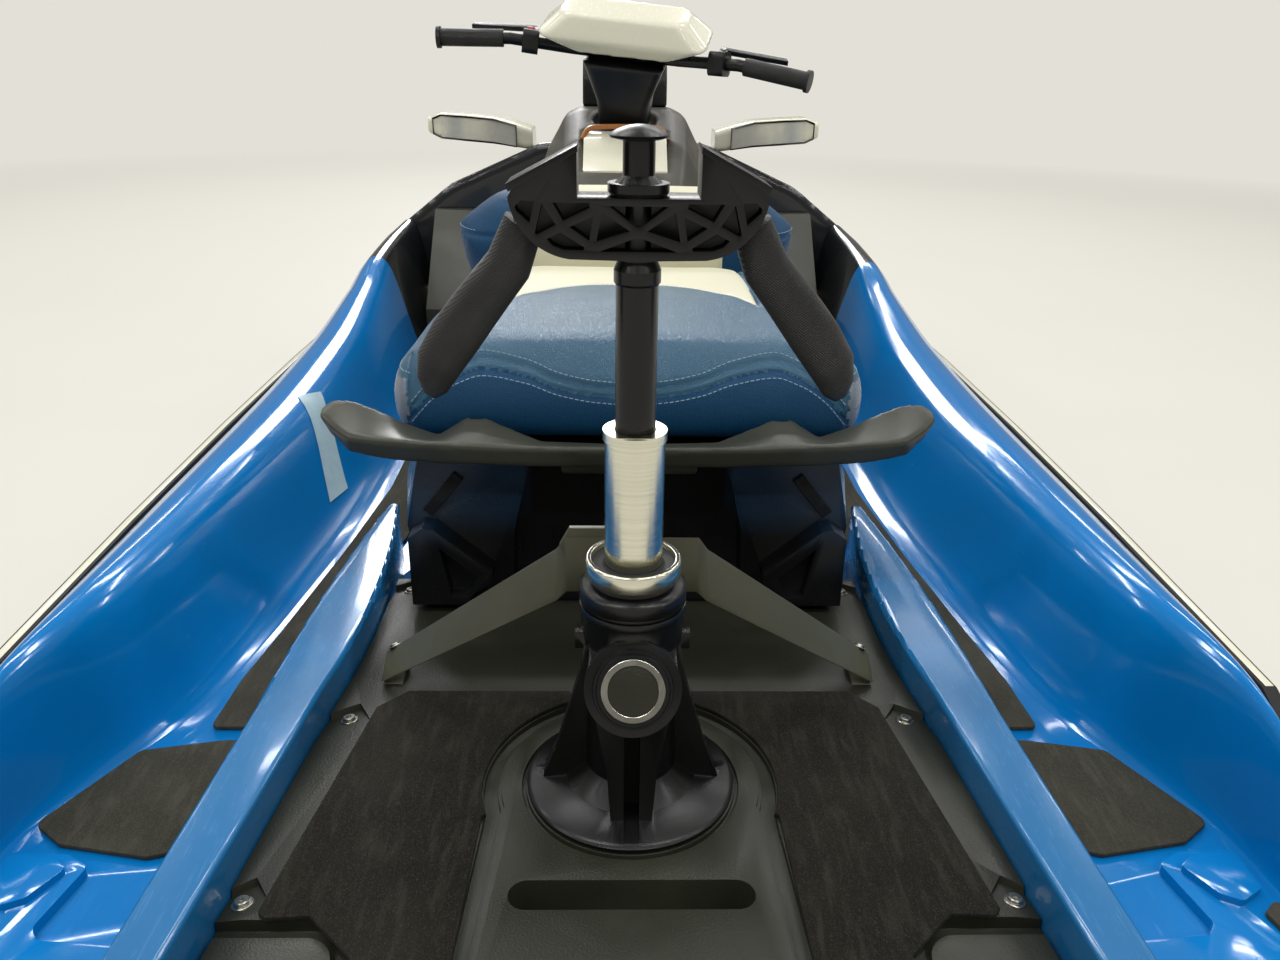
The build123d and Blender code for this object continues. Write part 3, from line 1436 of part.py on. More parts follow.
# Boarding step under the port side of the platform
STEP_X = (-400, -235)
STEP_PIVOT = (-1562, 50)
STEP_R = 11
with BuildPart() as boarding_step:
    with BuildLine() as step_path:
        FilletPolyline(
            (STEP_X[0], STEP_PIVOT[0], STEP_PIVOT[1]),
            (STEP_X[0], STEP_PIVOT[0] - 150, STEP_PIVOT[1]),
            (STEP_X[1], STEP_PIVOT[0] - 150, STEP_PIVOT[1]),
            (STEP_X[1], STEP_PIVOT[0], STEP_PIVOT[1]),
            radius=26,
        )
    with BuildSketch(Plane.XZ.offset(-STEP_PIVOT[0])):
        with Locations((STEP_X[0], STEP_PIVOT[1])):
            Circle(STEP_R)
    sweep(path=step_path.line)
    with Locations(((STEP_X[0] + STEP_X[1]) / 2, STEP_PIVOT[0] - 150, STEP_PIVOT[1])):
        Box(100, 34, 16)
    for x in STEP_X:
        with BuildSketch(Plane.YZ.offset(x - 9)):
            with Locations(STEP_PIVOT):
                Circle(13)
                Circle(5.5, mode=Mode.SUBTRACT)
        extrude(amount=18)
    with BuildSketch(Plane.YZ.offset(STEP_X[0] - 20)):
        with Locations(STEP_PIVOT):
            Circle(5.5)
    extrude(amount=STEP_X[1] - STEP_X[0] + 40, mode=Mode.SUBTRACT)
save(boarding_step.part, "boarding_step")

with BuildPart() as step_brackets:
    for x in STEP_X:
        for side in (-1, 1):
            with BuildSketch(Plane.YZ.offset(x + side * 15 - 4)):
                with Locations((STEP_PIVOT[0], STEP_PIVOT[1])):
                    Rectangle(26, 26)
                with Locations((STEP_PIVOT[0], STERN_BLOCK_BOTTOM_Z - 4)):
                    Rectangle(26, 8)
            extrude(amount=8)
        with BuildSketch(Plane.YZ.offset(x - 15)):
            with Locations(STEP_PIVOT):
                Circle(5.2)
        extrude(amount=30)
save(step_brackets.part, "step_brackets")
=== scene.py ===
import json
import math

import bmesh
import bpy
from mathutils import Matrix, Vector
from mathutils.bvhtree import BVHTree

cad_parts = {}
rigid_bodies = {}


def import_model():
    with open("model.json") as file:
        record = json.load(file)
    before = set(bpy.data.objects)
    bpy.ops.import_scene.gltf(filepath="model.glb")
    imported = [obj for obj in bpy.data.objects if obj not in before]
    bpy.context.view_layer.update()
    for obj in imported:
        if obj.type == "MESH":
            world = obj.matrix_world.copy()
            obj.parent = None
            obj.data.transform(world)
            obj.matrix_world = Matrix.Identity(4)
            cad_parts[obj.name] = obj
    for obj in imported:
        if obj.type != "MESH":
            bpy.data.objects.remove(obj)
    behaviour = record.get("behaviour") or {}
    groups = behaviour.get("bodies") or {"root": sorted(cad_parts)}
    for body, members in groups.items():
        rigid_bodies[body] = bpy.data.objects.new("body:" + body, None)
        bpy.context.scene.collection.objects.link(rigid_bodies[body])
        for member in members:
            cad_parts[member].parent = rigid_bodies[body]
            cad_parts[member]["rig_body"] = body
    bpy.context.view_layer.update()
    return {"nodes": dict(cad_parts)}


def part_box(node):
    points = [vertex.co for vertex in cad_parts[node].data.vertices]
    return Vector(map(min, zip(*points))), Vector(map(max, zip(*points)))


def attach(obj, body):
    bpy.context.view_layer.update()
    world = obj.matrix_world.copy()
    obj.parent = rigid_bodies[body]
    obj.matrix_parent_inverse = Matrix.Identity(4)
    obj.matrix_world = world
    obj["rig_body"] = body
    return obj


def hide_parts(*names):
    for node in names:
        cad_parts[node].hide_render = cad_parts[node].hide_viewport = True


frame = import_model()
cadNodes = frame["nodes"]
print("frame loaded:", len(cadNodes), "nodes")


# small helpers for objects and meshes
def linked(name, data):
    piece = bpy.data.objects.new(name, data)
    bpy.context.scene.collection.objects.link(piece)
    return piece


def plainMesh(obj):
    # the mesh as its modifiers leave it
    graph = bpy.context.evaluated_depsgraph_get()
    return bpy.data.meshes.new_from_object(obj.evaluated_get(graph))


def bakeModifiers(piece):
    piece.data = plainMesh(piece)
    piece.modifiers.clear()


def meshFrom(name, corners, faces=(), edges=()):
    mesh = bpy.data.meshes.new(name)
    mesh.from_pydata([tuple(corner) for corner in corners], edges, faces)
    return mesh


def loopFaces(rows, count):
    # faces between rows of count points each, closed round the row
    return [(row * count + i, row * count + (i + 1) % count,
             (row + 1) * count + (i + 1) % count, (row + 1) * count + i)
            for row in range(rows) for i in range(count)]


def facedOutward(mesh, weld=None):
    shape = bmesh.new()
    shape.from_mesh(mesh)
    if weld:
        bmesh.ops.remove_doubles(shape, verts=shape.verts, dist=weld)
    bmesh.ops.recalc_face_normals(shape, faces=shape.faces)
    shape.to_mesh(mesh)
    shape.free()
    return mesh


def smoothShaded(mesh, sharpFrom=None):
    # smooth, but for edges sharper than this angle in degrees
    mesh.shade_smooth()
    if sharpFrom:
        mesh.set_sharp_from_angle(angle=math.radians(sharpFrom))


def surfaceOf(mesh):
    return BVHTree.FromPolygons([v.co.copy() for v in mesh.vertices],
                                [tuple(p.vertices) for p in mesh.polygons])


def connect(tree, rows):
    # rows of (node, its output, next node, its input)
    for start, output, end, entry in rows:
        tree.links.new(start.outputs[output], end.inputs[entry])


# camera, solved from the photograph; angles in degrees
cameraPlace = {"x": -0.0148, "y": -2.1297, "height": 0.8174,
               "yaw": 1.49, "pitch": 23.25, "roll": 0.95, "lens": 28.43}


def placeCamera(place):
    yaw, pitch, roll = (math.radians(place[k]) for k in ("yaw", "pitch", "roll"))
    ahead = Vector((math.sin(yaw) * math.cos(pitch), math.cos(yaw) * math.cos(pitch),
                    -math.sin(pitch)))
    side = Vector((math.cos(yaw), -math.sin(yaw), 0))
    above = side.cross(ahead)
    across = math.cos(roll) * side + math.sin(roll) * above
    upright = -math.sin(roll) * side + math.cos(roll) * above
    data = bpy.data.cameras.new("viewCamera")
    data.lens = place["lens"]
    data.sensor_width = 36
    data.clip_start, data.clip_end = 0.02, 300
    camera = linked("viewCamera", data)
    camera.matrix_world = Matrix((
        (across.x, upright.x, -ahead.x, place["x"]),
        (across.y, upright.y, -ahead.y, place["y"]),
        (across.z, upright.z, -ahead.z, place["height"]),
        (0, 0, 0, 1)))
    bpy.context.scene.camera = camera


placeCamera(cameraPlace)
print("camera placed")


# small helpers for materials
def hexColour(code):
    parts = [int(code[i:i + 2], 16) / 255 for i in (0, 2, 4)]
    return tuple(p / 12.92 if p <= 0.04045 else ((p + 0.055) / 1.055) ** 2.4 for p in parts) + (1,)


def shaderOf(material):
    return material.node_tree.nodes["Principled BSDF"]


def newFinish(name, colour, rough, sockets=None):
    material = bpy.data.materials.new(name)
    material.use_nodes = True
    values = {"Base Color": hexColour(colour), "Roughness": rough, **(sockets or {})}
    for label, value in values.items():
        shaderOf(material).inputs[label].default_value = value
    return material


def newNode(material, kind, values=None):
    node = material.node_tree.nodes.new("ShaderNode" + kind)
    for label, value in (values or {}).items():
        node.inputs[label].default_value = value
    return node


def wire(material, start, end):
    material.node_tree.links.new(start, end)


def objectPlace(material, stretch=(1, 1, 1)):
    place = material.node_tree.nodes.get("Texture Coordinate") or newNode(material, "TexCoord")
    if stretch == (1, 1, 1):
        return place.outputs["Object"]
    mapping = newNode(material, "Mapping", {"Scale": stretch})
    wire(material, place.outputs["Object"], mapping.inputs["Vector"])
    return mapping.outputs["Vector"]


def noise(material, scale, detail=3, stretch=(1, 1, 1), warp=0.0):
    texture = newNode(material, "TexNoise", {"Scale": scale, "Detail": detail, "Distortion": warp})
    wire(material, objectPlace(material, stretch), texture.inputs["Vector"])
    return texture.outputs["Fac"]


def cells(material, scale, feature="F1"):
    texture = newNode(material, "TexVoronoi")
    texture.feature = feature
    texture.inputs["Scale"].default_value = scale
    wire(material, objectPlace(material), texture.inputs["Vector"])
    return texture.outputs["Distance"]


def spread(material, source, low, high, toLow=0.0, toHigh=1.0):
    ranger = newNode(material, "MapRange", {"From Min": low, "From Max": high, "To Min": toLow,
                                            "To Max": toHigh})
    wire(material, source, ranger.inputs["Value"])
    return ranger.outputs["Result"]


def tint(material, source, colour, low=0.4, high=0.7, share=1.0):
    base = shaderOf(material).inputs["Base Color"]
    mix = newNode(material, "Mix")
    mix.data_type = "RGBA"
    first, second = [s for s in mix.inputs if s.type == "RGBA"]
    first.default_value = base.default_value
    if base.is_linked:
        wire(material, base.links[0].from_socket, first)
    second.default_value = hexColour(colour)
    wire(material, spread(material, source, low, high, 0, share), mix.inputs["Factor"])
    wire(material, [s for s in mix.outputs if s.type == "RGBA"][0], base)


def combined(material, operation, *sources):
    node = newNode(material, "Math")
    node.operation = operation
    for entry, source in zip(node.inputs, sources):
        wire(material, source, entry)
    return node.outputs["Value"]


def zone(material, axis, low, high, soft):
    # one between low and high along an axis of the object, and nothing outside; x counts from
    # the middle to both sides
    split = newNode(material, "SeparateXYZ")
    wire(material, objectPlace(material), split.inputs["Vector"])
    place = split.outputs[axis]
    if axis == "X":
        place = combined(material, "ABSOLUTE", place)
    return combined(material, "MULTIPLY", spread(material, place, low - soft, low + soft),
                    spread(material, place, high - soft, high + soft, 1, 0))


def roughen(material, source, low, high, toLow, toHigh):
    wire(material, spread(material, source, low, high, toLow, toHigh),
         shaderOf(material).inputs["Roughness"])


def bump(material, source, distance, strength=1.0):
    node = newNode(material, "Bump", {"Strength": strength, "Distance": distance})
    wire(material, source, node.inputs["Height"])
    normal = shaderOf(material).inputs["Normal"]
    if normal.is_linked:
        wire(material, normal.links[0].from_socket, node.inputs["Normal"])
    wire(material, node.outputs["Normal"], normal)


# gelcoats: gloss paint with flakes, hairline scratches and a little unevenness
gelcoats = {
    "blueGelcoat": {"colour": "0374bc", "flake": "1487cd", "shade": "0068ac", "rough": 0.13,
                    "metal": 0.05, "scratch": 0.2},
    "railGelcoat": {"colour": "1b6ba3", "flake": "4a8bbb", "shade": "135d90", "rough": 0.22,
                    "metal": 0.05, "scratch": 0.4},
    "creamGelcoat": {"colour": "e0ddc8", "flake": "e8e5d3", "shade": "d2cfba", "rough": 0.24,
                     "metal": 0.0, "scratch": 0.2},
    "darkGelcoat": {"colour": "1b1d20", "flake": "2a2d31", "shade": "131416", "rough": 0.22,
                    "metal": 0.1, "scratch": 0.06},
}


def makeGelcoat(name, values):
    material = newFinish(name, values["colour"], values["rough"], {
        "Metallic": values["metal"], "Specular IOR Level": 0.4, "Coat Weight": 0.45,
        "Coat Roughness": 0.05})
    tint(material, noise(material, 2.2, 3), values["shade"], 0.4, 0.75, 0.5)
    tint(material, cells(material, 1800), values["flake"], 0.5, 0.9, 0.15)
    hairs = noise(material, 40, 5, (14, 0.9, 5), 0.6)
    roughen(material, hairs, 0.58, 0.8, values["rough"], values["rough"] + values["scratch"])
    bump(material, hairs, 0.00003, 0.4)
    bump(material, noise(material, 7, 2), 0.0012, 0.08)
    return material


# moulded and coated surfaces: grain is the size of one grain in cells a metre
mouldings = {
    "oliveMoulding": {"colour": "27281f", "worn": "3f4034", "rough": 0.4, "grain": 1500,
                      "depth": 0.00025},
    "braceMoulding": {"colour": "4f4e3d", "worn": "5d5b49", "rough": 0.4, "grain": 2200,
                      "depth": 0.0001},
    "handleMoulding": {"colour": "393a31", "worn": "55554a", "rough": 0.34, "grain": 2200,
                       "depth": 0.0001},
    "blackMoulding": {"colour": "101112", "worn": "1b1c1d", "rough": 0.36, "grain": 1600,
                      "depth": 0.0002},
    "panelMoulding": {"colour": "3d3e36", "worn": "5b5c50", "rough": 0.42, "grain": 1600,
                      "depth": 0.0002},
    "consoleMoulding": {"colour": "4b4942", "worn": "5d5a51", "rough": 0.38, "grain": 1600,
                        "depth": 0.0002},
    "blackCoating": {"colour": "0e0e0e", "worn": "191919", "rough": 0.3, "grain": 2600,
                     "depth": 0.00006},
    "bumperRubber": {"colour": "161616", "worn": "242424", "rough": 0.62, "grain": 1300,
                     "depth": 0.00015},
    "engineGrey": {"colour": "3a3b3c", "worn": "555657", "rough": 0.6, "grain": 700,
                   "depth": 0.0004, "metal": 0.3},
    "castAluminium": {"colour": "8f9192", "worn": "a7a9aa", "rough": 0.5, "grain": 900,
                      "depth": 0.0002, "metal": 0.85},
}


def makeMoulding(name, values):
    material = newFinish(name, values["colour"], values["rough"],
                         {"Metallic": values.get("metal", 0), "Specular IOR Level": 0.35})
    tint(material, noise(material, 9, 5), values["worn"], 0.5, 0.8, 0.5)
    grain = cells(material, values["grain"] * 0.4, feature="SMOOTH_F1")
    bump(material, grain, values["depth"], 0.8)
    bump(material, noise(material, 30, 3), 0.0002, 0.2)
    roughen(material, noise(material, 14, 4), 0.35, 0.7, values["rough"] - 0.05,
            values["rough"] + 0.07)
    return material


# foam decking: closed-cell foam with a short brushed nap
foams = {
    "platformFoam": {"colour": "181713", "dust": "26251e", "light": "45433a", "speck": "8d8a7d",
                     "rough": 0.95},
    "footwellFoam": {"colour": "33322a", "dust": "45433a", "light": "5d5a4e", "speck": "8d8a7d",
                     "rough": 0.95},
}


def makeFoam(name, values):
    material = newFinish(name, values["colour"], values["rough"],
                         {"Sheen Weight": 0.04, "Specular IOR Level": 0.12})
    tint(material, noise(material, 11, 6), values["dust"], 0.42, 0.7, 0.7)
    tint(material, noise(material, 55, 6, (2.2, 0.4, 1), 0.3), values["light"], 0.5, 0.75, 0.35)
    specks = spread(material, cells(material, 9), 0.005, 0.009, 1, 0)
    tint(material, specks, values["speck"], 0.1, 0.9, 0.8)
    nap = noise(material, 240, 6, (2.4, 0.8, 1), 0.3)
    fibres = noise(material, 1100, 4, (1.5, 0.6, 1), 0.4)
    tint(material, nap, values["dust"], 0.5, 0.72, 0.6)
    tint(material, fibres, values["light"], 0.56, 0.72, 0.85)
    bump(material, fibres, 0.0009, 0.8)
    bump(material, nap, 0.0008, 0.35)
    return material


# bare metals
metals = {
    "brushedAluminium": {"colour": "dad8c6", "dark": "cbc9b7", "rough": 0.17, "lines": (3, 3, 420)},
    "stainlessSteel": {"colour": "b9b9b6", "dark": "8d8d8a", "rough": 0.22, "lines": (60, 60, 60)},
}


def makeMetal(name, values):
    material = newFinish(name, values["colour"], values["rough"], {"Metallic": 1.0})
    lines = noise(material, 1, 3, values["lines"])
    tint(material, lines, values["dark"], 0.4, 0.7, 0.5)
    roughen(material, lines, 0.3, 0.7, values["rough"], values["rough"] + 0.1)
    bump(material, lines, 0.000006, 0.5)
    return material


# rubber grips: a knurl of fine crossing ridges
gripValues = {"colour": "161512", "worn": "2c2a24", "rough": 0.5, "ridges": 250, "depth": 0.0005}


def ridges(material, scale, slant):
    wave = newNode(material, "TexWave", {"Scale": scale})
    wave.bands_direction = "DIAGONAL"
    wire(material, objectPlace(material, (1, 0.35, slant)), wave.inputs["Vector"])
    return wave.outputs["Fac"]


def makeGrip(values):
    material = newFinish("gripRubber", values["colour"], values["rough"])
    for slant in (1.3, -1.3):
        bump(material, ridges(material, values["ridges"], slant), values["depth"], 0.8)
    tint(material, noise(material, 20, 4), values["worn"], 0.5, 0.8, 0.6)
    roughen(material, noise(material, 35, 3), 0.35, 0.7, values["rough"] - 0.1,
            values["rough"] + 0.1)
    return material


# seat covers: a fine leather grain
vinyls = {
    "blueVinyl": {"colour": "275570", "deep": "204b65", "light": "3b6880", "rough": 0.3,
                  "gloss": 0.4},
    "deepBlueVinyl": {"colour": "083f63", "deep": "063453", "light": "135275", "rough": 0.4,
                      "gloss": 0.22},
    "creamVinyl": {"colour": "d8d5bb", "deep": "c4c1a6", "light": "e2dfc9", "rough": 0.45,
                   "gloss": 0.4},
    # the seat's sides: a glossier vinyl, its pale colour a painted sheen
    "sideVinyl": {"colour": "6f7a88", "deep": "5b6878", "light": "8b949e", "rough": 0.25,
                  "gloss": 0.5},
}


def makeVinyl(name, values):
    material = newFinish(name, values["colour"], values["rough"],
                         {"Specular IOR Level": values["gloss"]})
    tint(material, noise(material, 4, 2), values["deep"], 0.3, 0.8, 0.6)
    grain = cells(material, 520, feature="DISTANCE_TO_EDGE")
    tint(material, grain, values["light"], 0.1, 0.5, 0.25)
    bump(material, spread(material, grain, 0, 0.25), 0.00035, 0.8)
    bump(material, noise(material, 1400, 2), 0.0001, 0.5)
    roughen(material, noise(material, 5, 2), 0.2, 0.8, values["rough"] - 0.03,
            values["rough"] + 0.05)
    return material


finishes = {"gripRubber": makeGrip(gripValues)}
for maker, kinds in ((makeGelcoat, gelcoats), (makeMoulding, mouldings), (makeFoam, foams),
                     (makeMetal, metals), (makeVinyl, vinyls)):
    for name, values in kinds.items():
        finishes[name] = maker(name, values)

# finishes of small parts: colour, worn colour, roughness, other sockets
smallFinishes = {
    "satinSteel": ("b5b3aa", "8f8d84", 0.28, {"Metallic": 1.0}),
    "webbing": ("0d0d0e", "26262a", 0.7, {}),
    "mirrorGlass": ("d9d8cc", "cccbbf", 0.16, {"Metallic": 0.35}),
    "amberTrim": ("a8672c", "8e5321", 0.35, {"Coat Weight": 0.4}),
    "redPlastic": ("b3231c", "931a15", 0.35, {"Coat Weight": 0.3}),
    "screenGlass": ("0b0c0e", "121417", 0.08, {"Coat Weight": 1.0}),
    "blankFilm": ("a9c4cf", "9ab7c4", 0.35, {}),
}
for name, (colour, worn, rough, sockets) in smallFinishes.items():
    made = finishes[name] = newFinish(name, colour, rough, sockets)
    tint(made, noise(made, 60, 4), worn, 0.45, 0.75, 0.7)
    roughen(made, noise(made, 110, 3), 0.4, 0.7, rough, rough + 0.08)
    bump(made, noise(made, 700, 2), 0.00003, 0.5)

# the pedestal's side panels are glossy and navy under the seat: the blue paint darkened there as
# painted shade
pedestalValues = {"shadedNavy": "1c3146", "rough": 0.3, "sides": (0.118, 0.300),
                  "heights": (0.302, 0.46), "soft": 0.004}


def makePedestalFinish(values):
    material = makeMoulding("pedestalFinish",
                            {**mouldings["blackMoulding"], "rough": values["rough"]})
    shadedPanels = combined(material, "MULTIPLY",
                      zone(material, "X", *values["sides"], values["soft"]),
                      zone(material, "Z", *values["heights"], values["soft"] * 4))
    # the side panels under the seat get navy: painted shade over blue paint
    tint(material, shadedPanels, values["shadedNavy"], 0, 1)
    return material


finishes["pedestalFinish"] = makePedestalFinish(pedestalValues)

# which pieces wear which finish
finishNodes = {
    "creamGelcoat": "hull hood glovebox_lid mirror_left mirror_right bar_pad",
    "bumperRubber": "bumper",
    "blueGelcoat": "deck_pan gunwale_left gunwale_right",
    "railGelcoat": "side_rails",
    "oliveMoulding": "platform_panel",
    "platformFoam": "platform_mats",
    "footwellFoam": "floor_mats",
    "pedestalFinish": "pedestal",
    "blueVinyl": "rear_seat front_seat",
    "handleMoulding": "grab_handle",
    "darkGelcoat": "nose",
    "consoleMoulding": "console",
    "panelMoulding": "footwell_panels",
    "blackMoulding": "gauge_pod steering_neck control_pods lock_knob reverse_gate ride_plate "
                     "sponsons step_brackets",
    "blackCoating": "handlebar mast_base mast_tube mast_head rope_spool",
    "gripRubber": "hand_grips mast_grips",
    "brushedAluminium": "bearing_ring mast_sleeve",
    "braceMoulding": "mast_brace",
    "castAluminium": "jet_pump steering_nozzle intake_grate",
    "stainlessSteel": "impeller tow_eyes boarding_step",
    "engineGrey": "engine_block",
}
nodeFinish = {node: finish for finish, nodes in finishNodes.items() for node in nodes.split()}
for name, node in cadNodes.items():
    node.data.materials.clear()
    node.data.materials.append(finishes[nodeFinish[name]])
print("materials made:", len(finishes))


def weldedMesh(name, flatAngle=0.6):
    # the node's triangles joined, and flat ones made one face
    shape = bmesh.new()
    shape.from_mesh(cadNodes[name].data)
    bmesh.ops.remove_doubles(shape, verts=shape.verts, dist=0.00002)
    if name != "mast_head":  # its pockets need the loose triangles between them
        bmesh.ops.dissolve_limit(shape, angle_limit=math.radians(flatAngle), verts=shape.verts,
                                 edges=shape.edges)
    shape.verts.index_update()
    mesh = meshFrom(name, [v.co for v in shape.verts],
                    [[v.index for v in face.verts] for face in shape.faces])
    shape.free()
    return mesh


def standIn(piece, name):
    # the piece rides where the node rides, and shows instead of it
    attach(piece, cadNodes[name]["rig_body"])
    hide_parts(name)
    return piece


# soft-edged mouldings: an even mesh over the CAD shape, smoothed (voxel in metres, rounds)
softMouldings = {"grab_handle": (0.0024, 7), "bar_pad": (0.004, 9), "gauge_pod": (0.0035, 6),
                 "nose": (0.007, 12), "console": (0.005, 10), "mirror_left": (0.003, 6),
                 "mirror_right": (0.003, 6), "steering_neck": (0.003, 8)}


def evenMesh(piece, voxel):
    remesh = piece.modifiers.new("evenMesh", "REMESH")
    remesh.mode = "VOXEL"
    remesh.voxel_size = voxel
    bakeModifiers(piece)


def smoothMesh(mesh, rounds):
    shape = bmesh.new()
    shape.from_mesh(mesh)
    for _ in range(rounds):
        bmesh.ops.smooth_vert(shape, verts=shape.verts, factor=0.5, use_axis_x=True,
                              use_axis_y=True, use_axis_z=True)
    shape.to_mesh(mesh)
    shape.free()
    facedOutward(mesh)


def softPiece(name, voxel, rounds):
    piece = linked(name + "Skin", weldedMesh(name))
    evenMesh(piece, voxel)
    smoothMesh(piece.data, rounds)
    piece.data.materials.clear()
    piece.data.materials.append(finishes[nodeFinish[name]])
    smoothShaded(piece.data)
    return standIn(piece, name)


softPieces = {name: softPiece(name, *values) for name, values in softMouldings.items()}
print("mouldings softened:", {name: len(piece.data.polygons) for name, piece in softPieces.items()})

# moulded and cast pieces: the same shapes with their edges rounded over, by so many millimetres;
# pieces not listed keep the edges they have
edgeRounding = {
    "hull": 3.0, "bumper": 4.0, "deck_pan": 3.0, "side_rails": 2.0, "platform_panel": 1.6,
    "platform_mats": 1.2, "floor_mats": 1.4, "pedestal": 4.0, "hood": 4.0, "glovebox_lid": 3.0,
    "footwell_panels": 4.0, "control_pods": 1.5, "bearing_ring": 0.5, "mast_base": 1.6,
    "mast_brace": 1.2, "mast_head": 0.5, "reverse_gate": 2.0, "ride_plate": 2.0,
    "intake_grate": 1.5, "sponsons": 4.0, "boarding_step": 1.5, "step_brackets": 1.5,
    "engine_block": 8.0, "steering_nozzle": 1.0, "jet_pump": 1.0,
}


def roundedPiece(name, width):
    mesh = weldedMesh(name)
    mesh.materials.append(finishes[nodeFinish[name]])
    piece = linked(name + "Shell", mesh)
    bevel = piece.modifiers.new("edges", "BEVEL")
    bevel.width = width / 1000
    bevel.segments = 2
    bevel.limit_method = "ANGLE"
    bevel.angle_limit = math.radians(32)
    bevel.use_clamp_overlap = True
    bevel.miter_outer = "MITER_ARC"
    bakeModifiers(piece)
    smoothShaded(piece.data, 33)
    return standIn(piece, name)


def secondFinish(mesh, finish, belongs):
    # a second finish on the faces that belong to it
    mesh.materials.append(finishes[finish])
    for face in mesh.polygons:
        face.material_index = 1 if belongs(face) else 0


roundedPieces = {name: roundedPiece(name, width) for name, width in edgeRounding.items()}
# the bearing ring is bright outside and has a dark seal inside, the bumper's upper face is the
# pale flange of the hull
flangeLevel = 0.95
ringLow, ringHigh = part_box("bearing_ring")
ringMiddle = (ringLow + ringHigh) / 2
sealEdge = 0.862 * (ringHigh.x - ringLow.x) / 2
secondFinish(roundedPieces["bearing_ring"].data, "bumperRubber", lambda face: math.hypot(
    face.center.x, face.center.y - ringMiddle.y) < sealEdge)
secondFinish(roundedPieces["bumper"].data, "creamGelcoat",
             lambda face: face.normal.z > flangeLevel)
print("edges rounded on", len(roundedPieces), "pieces")

# gunwales: one smooth skin a side, from the same stations as the hull mould (metres)
# (y, flange half breadth, top height, foot of the inner wall)
gunwaleValues = {
    "stations": [
        (-1.575, 0.600, 0.184, 0.573), (-1.500, 0.606, 0.218, 0.569), (-1.430, 0.612, 0.252, 0.561),
        (-1.385, 0.614, 0.272, 0.551), (-1.330, 0.615, 0.287, 0.524), (-1.270, 0.616, 0.294, 0.492),
        (-1.200, 0.618, 0.297, 0.462), (-1.000, 0.620, 0.298, 0.428), (-0.600, 0.621, 0.302, 0.392),
        (-0.300, 0.619, 0.315, 0.396), (0.000, 0.614, 0.354, 0.424), (0.140, 0.606, 0.384, 0.440),
        (0.448, 0.576, 0.412, 0.448)],
    "section": [(0.0, 0.0), (0.05, 0.02), (0.14, 0.11), (0.22, 0.26), (0.3, 0.45), (0.37, 0.63),
                (0.43, 0.77), (0.48, 0.87), (0.54, 0.945), (0.6, 0.982), (0.66, 0.998),
                (0.72, 0.995), (0.79, 0.972), (0.88, 0.91), (0.95, 0.78), (0.985, 0.66),
                (1.0, 0.5)],
    "floor": 0.147, "step": 0.02, "darkFrom": 0.136,
    "bond": (0.165, 0.250), "bondRise": (-1.580, -1.340), "tuck": 0.005,
}


def between(place, span, ends):
    # runs from one end to the other as the place crosses the span
    share = min(1.0, max(0.0, (place - span[0]) / (span[1] - span[0])))
    return ends[0] + (ends[1] - ends[0]) * share


def smoothTable(rows, where):
    # monotone curve through the table's rows, read at one place and held past its ends
    for index in range(len(rows) - 1):
        if where <= rows[index + 1][0]:
            break
    before, after = rows[index], rows[index + 1]
    length = after[0] - before[0]
    t = min(1.0, max(0.0, (where - before[0]) / length))

    def slopeAt(i, k):
        if i == 0 or i == len(rows) - 1:
            j = min(i, len(rows) - 2)
            return (rows[j + 1][k] - rows[j][k]) / (rows[j + 1][0] - rows[j][0])
        left = (rows[i][k] - rows[i - 1][k]) / (rows[i][0] - rows[i - 1][0])
        right = (rows[i + 1][k] - rows[i][k]) / (rows[i + 1][0] - rows[i][0])
        return 2 * left * right / (left + right) if left * right > 0 else 0.0

    values = []
    for k in range(1, len(before)):
        m, n = slopeAt(index, k), slopeAt(index + 1, k)
        values.append(before[k] * (1 + 2 * t) * (1 - t) ** 2 + m * length * t * (1 - t) ** 2
                      + after[k] * t * t * (3 - 2 * t) - n * length * t * t * (1 - t))
    return values


def circleThrough(a, b, c):
    (ax, ay), (bx, by), (cx, cy) = a, b, c
    p, q, r = ax**2 + ay**2, bx**2 + by**2, cx**2 + cy**2
    d = 2 * (ax * (by - cy) + bx * (cy - ay) + cx * (ay - by))
    ux = (p * (by - cy) + q * (cy - ay) + r * (ay - by)) / d
    uy = (p * (cx - bx) + q * (ax - cx) + r * (bx - ax)) / d
    return ux, uy, math.hypot(ax - ux, ay - uy)


sideCircle = circleThrough((0.587, -1.560), (0.611, -0.700), (0.592, 0.250))
bowCircle = circleThrough((0.592, 0.250), (0.430, 1.050), (0.072, 1.673))
cornerCircle = circleThrough((0.440, -1.708), (0.548, -1.673), (0.587, -1.560))


def halfBreadth(y):
    cx, cy, radius = cornerCircle if y < -1.56 else sideCircle if y < 0.25 else bowCircle
    return cx + math.sqrt(max(0.0, radius**2 - (y - cy) ** 2))


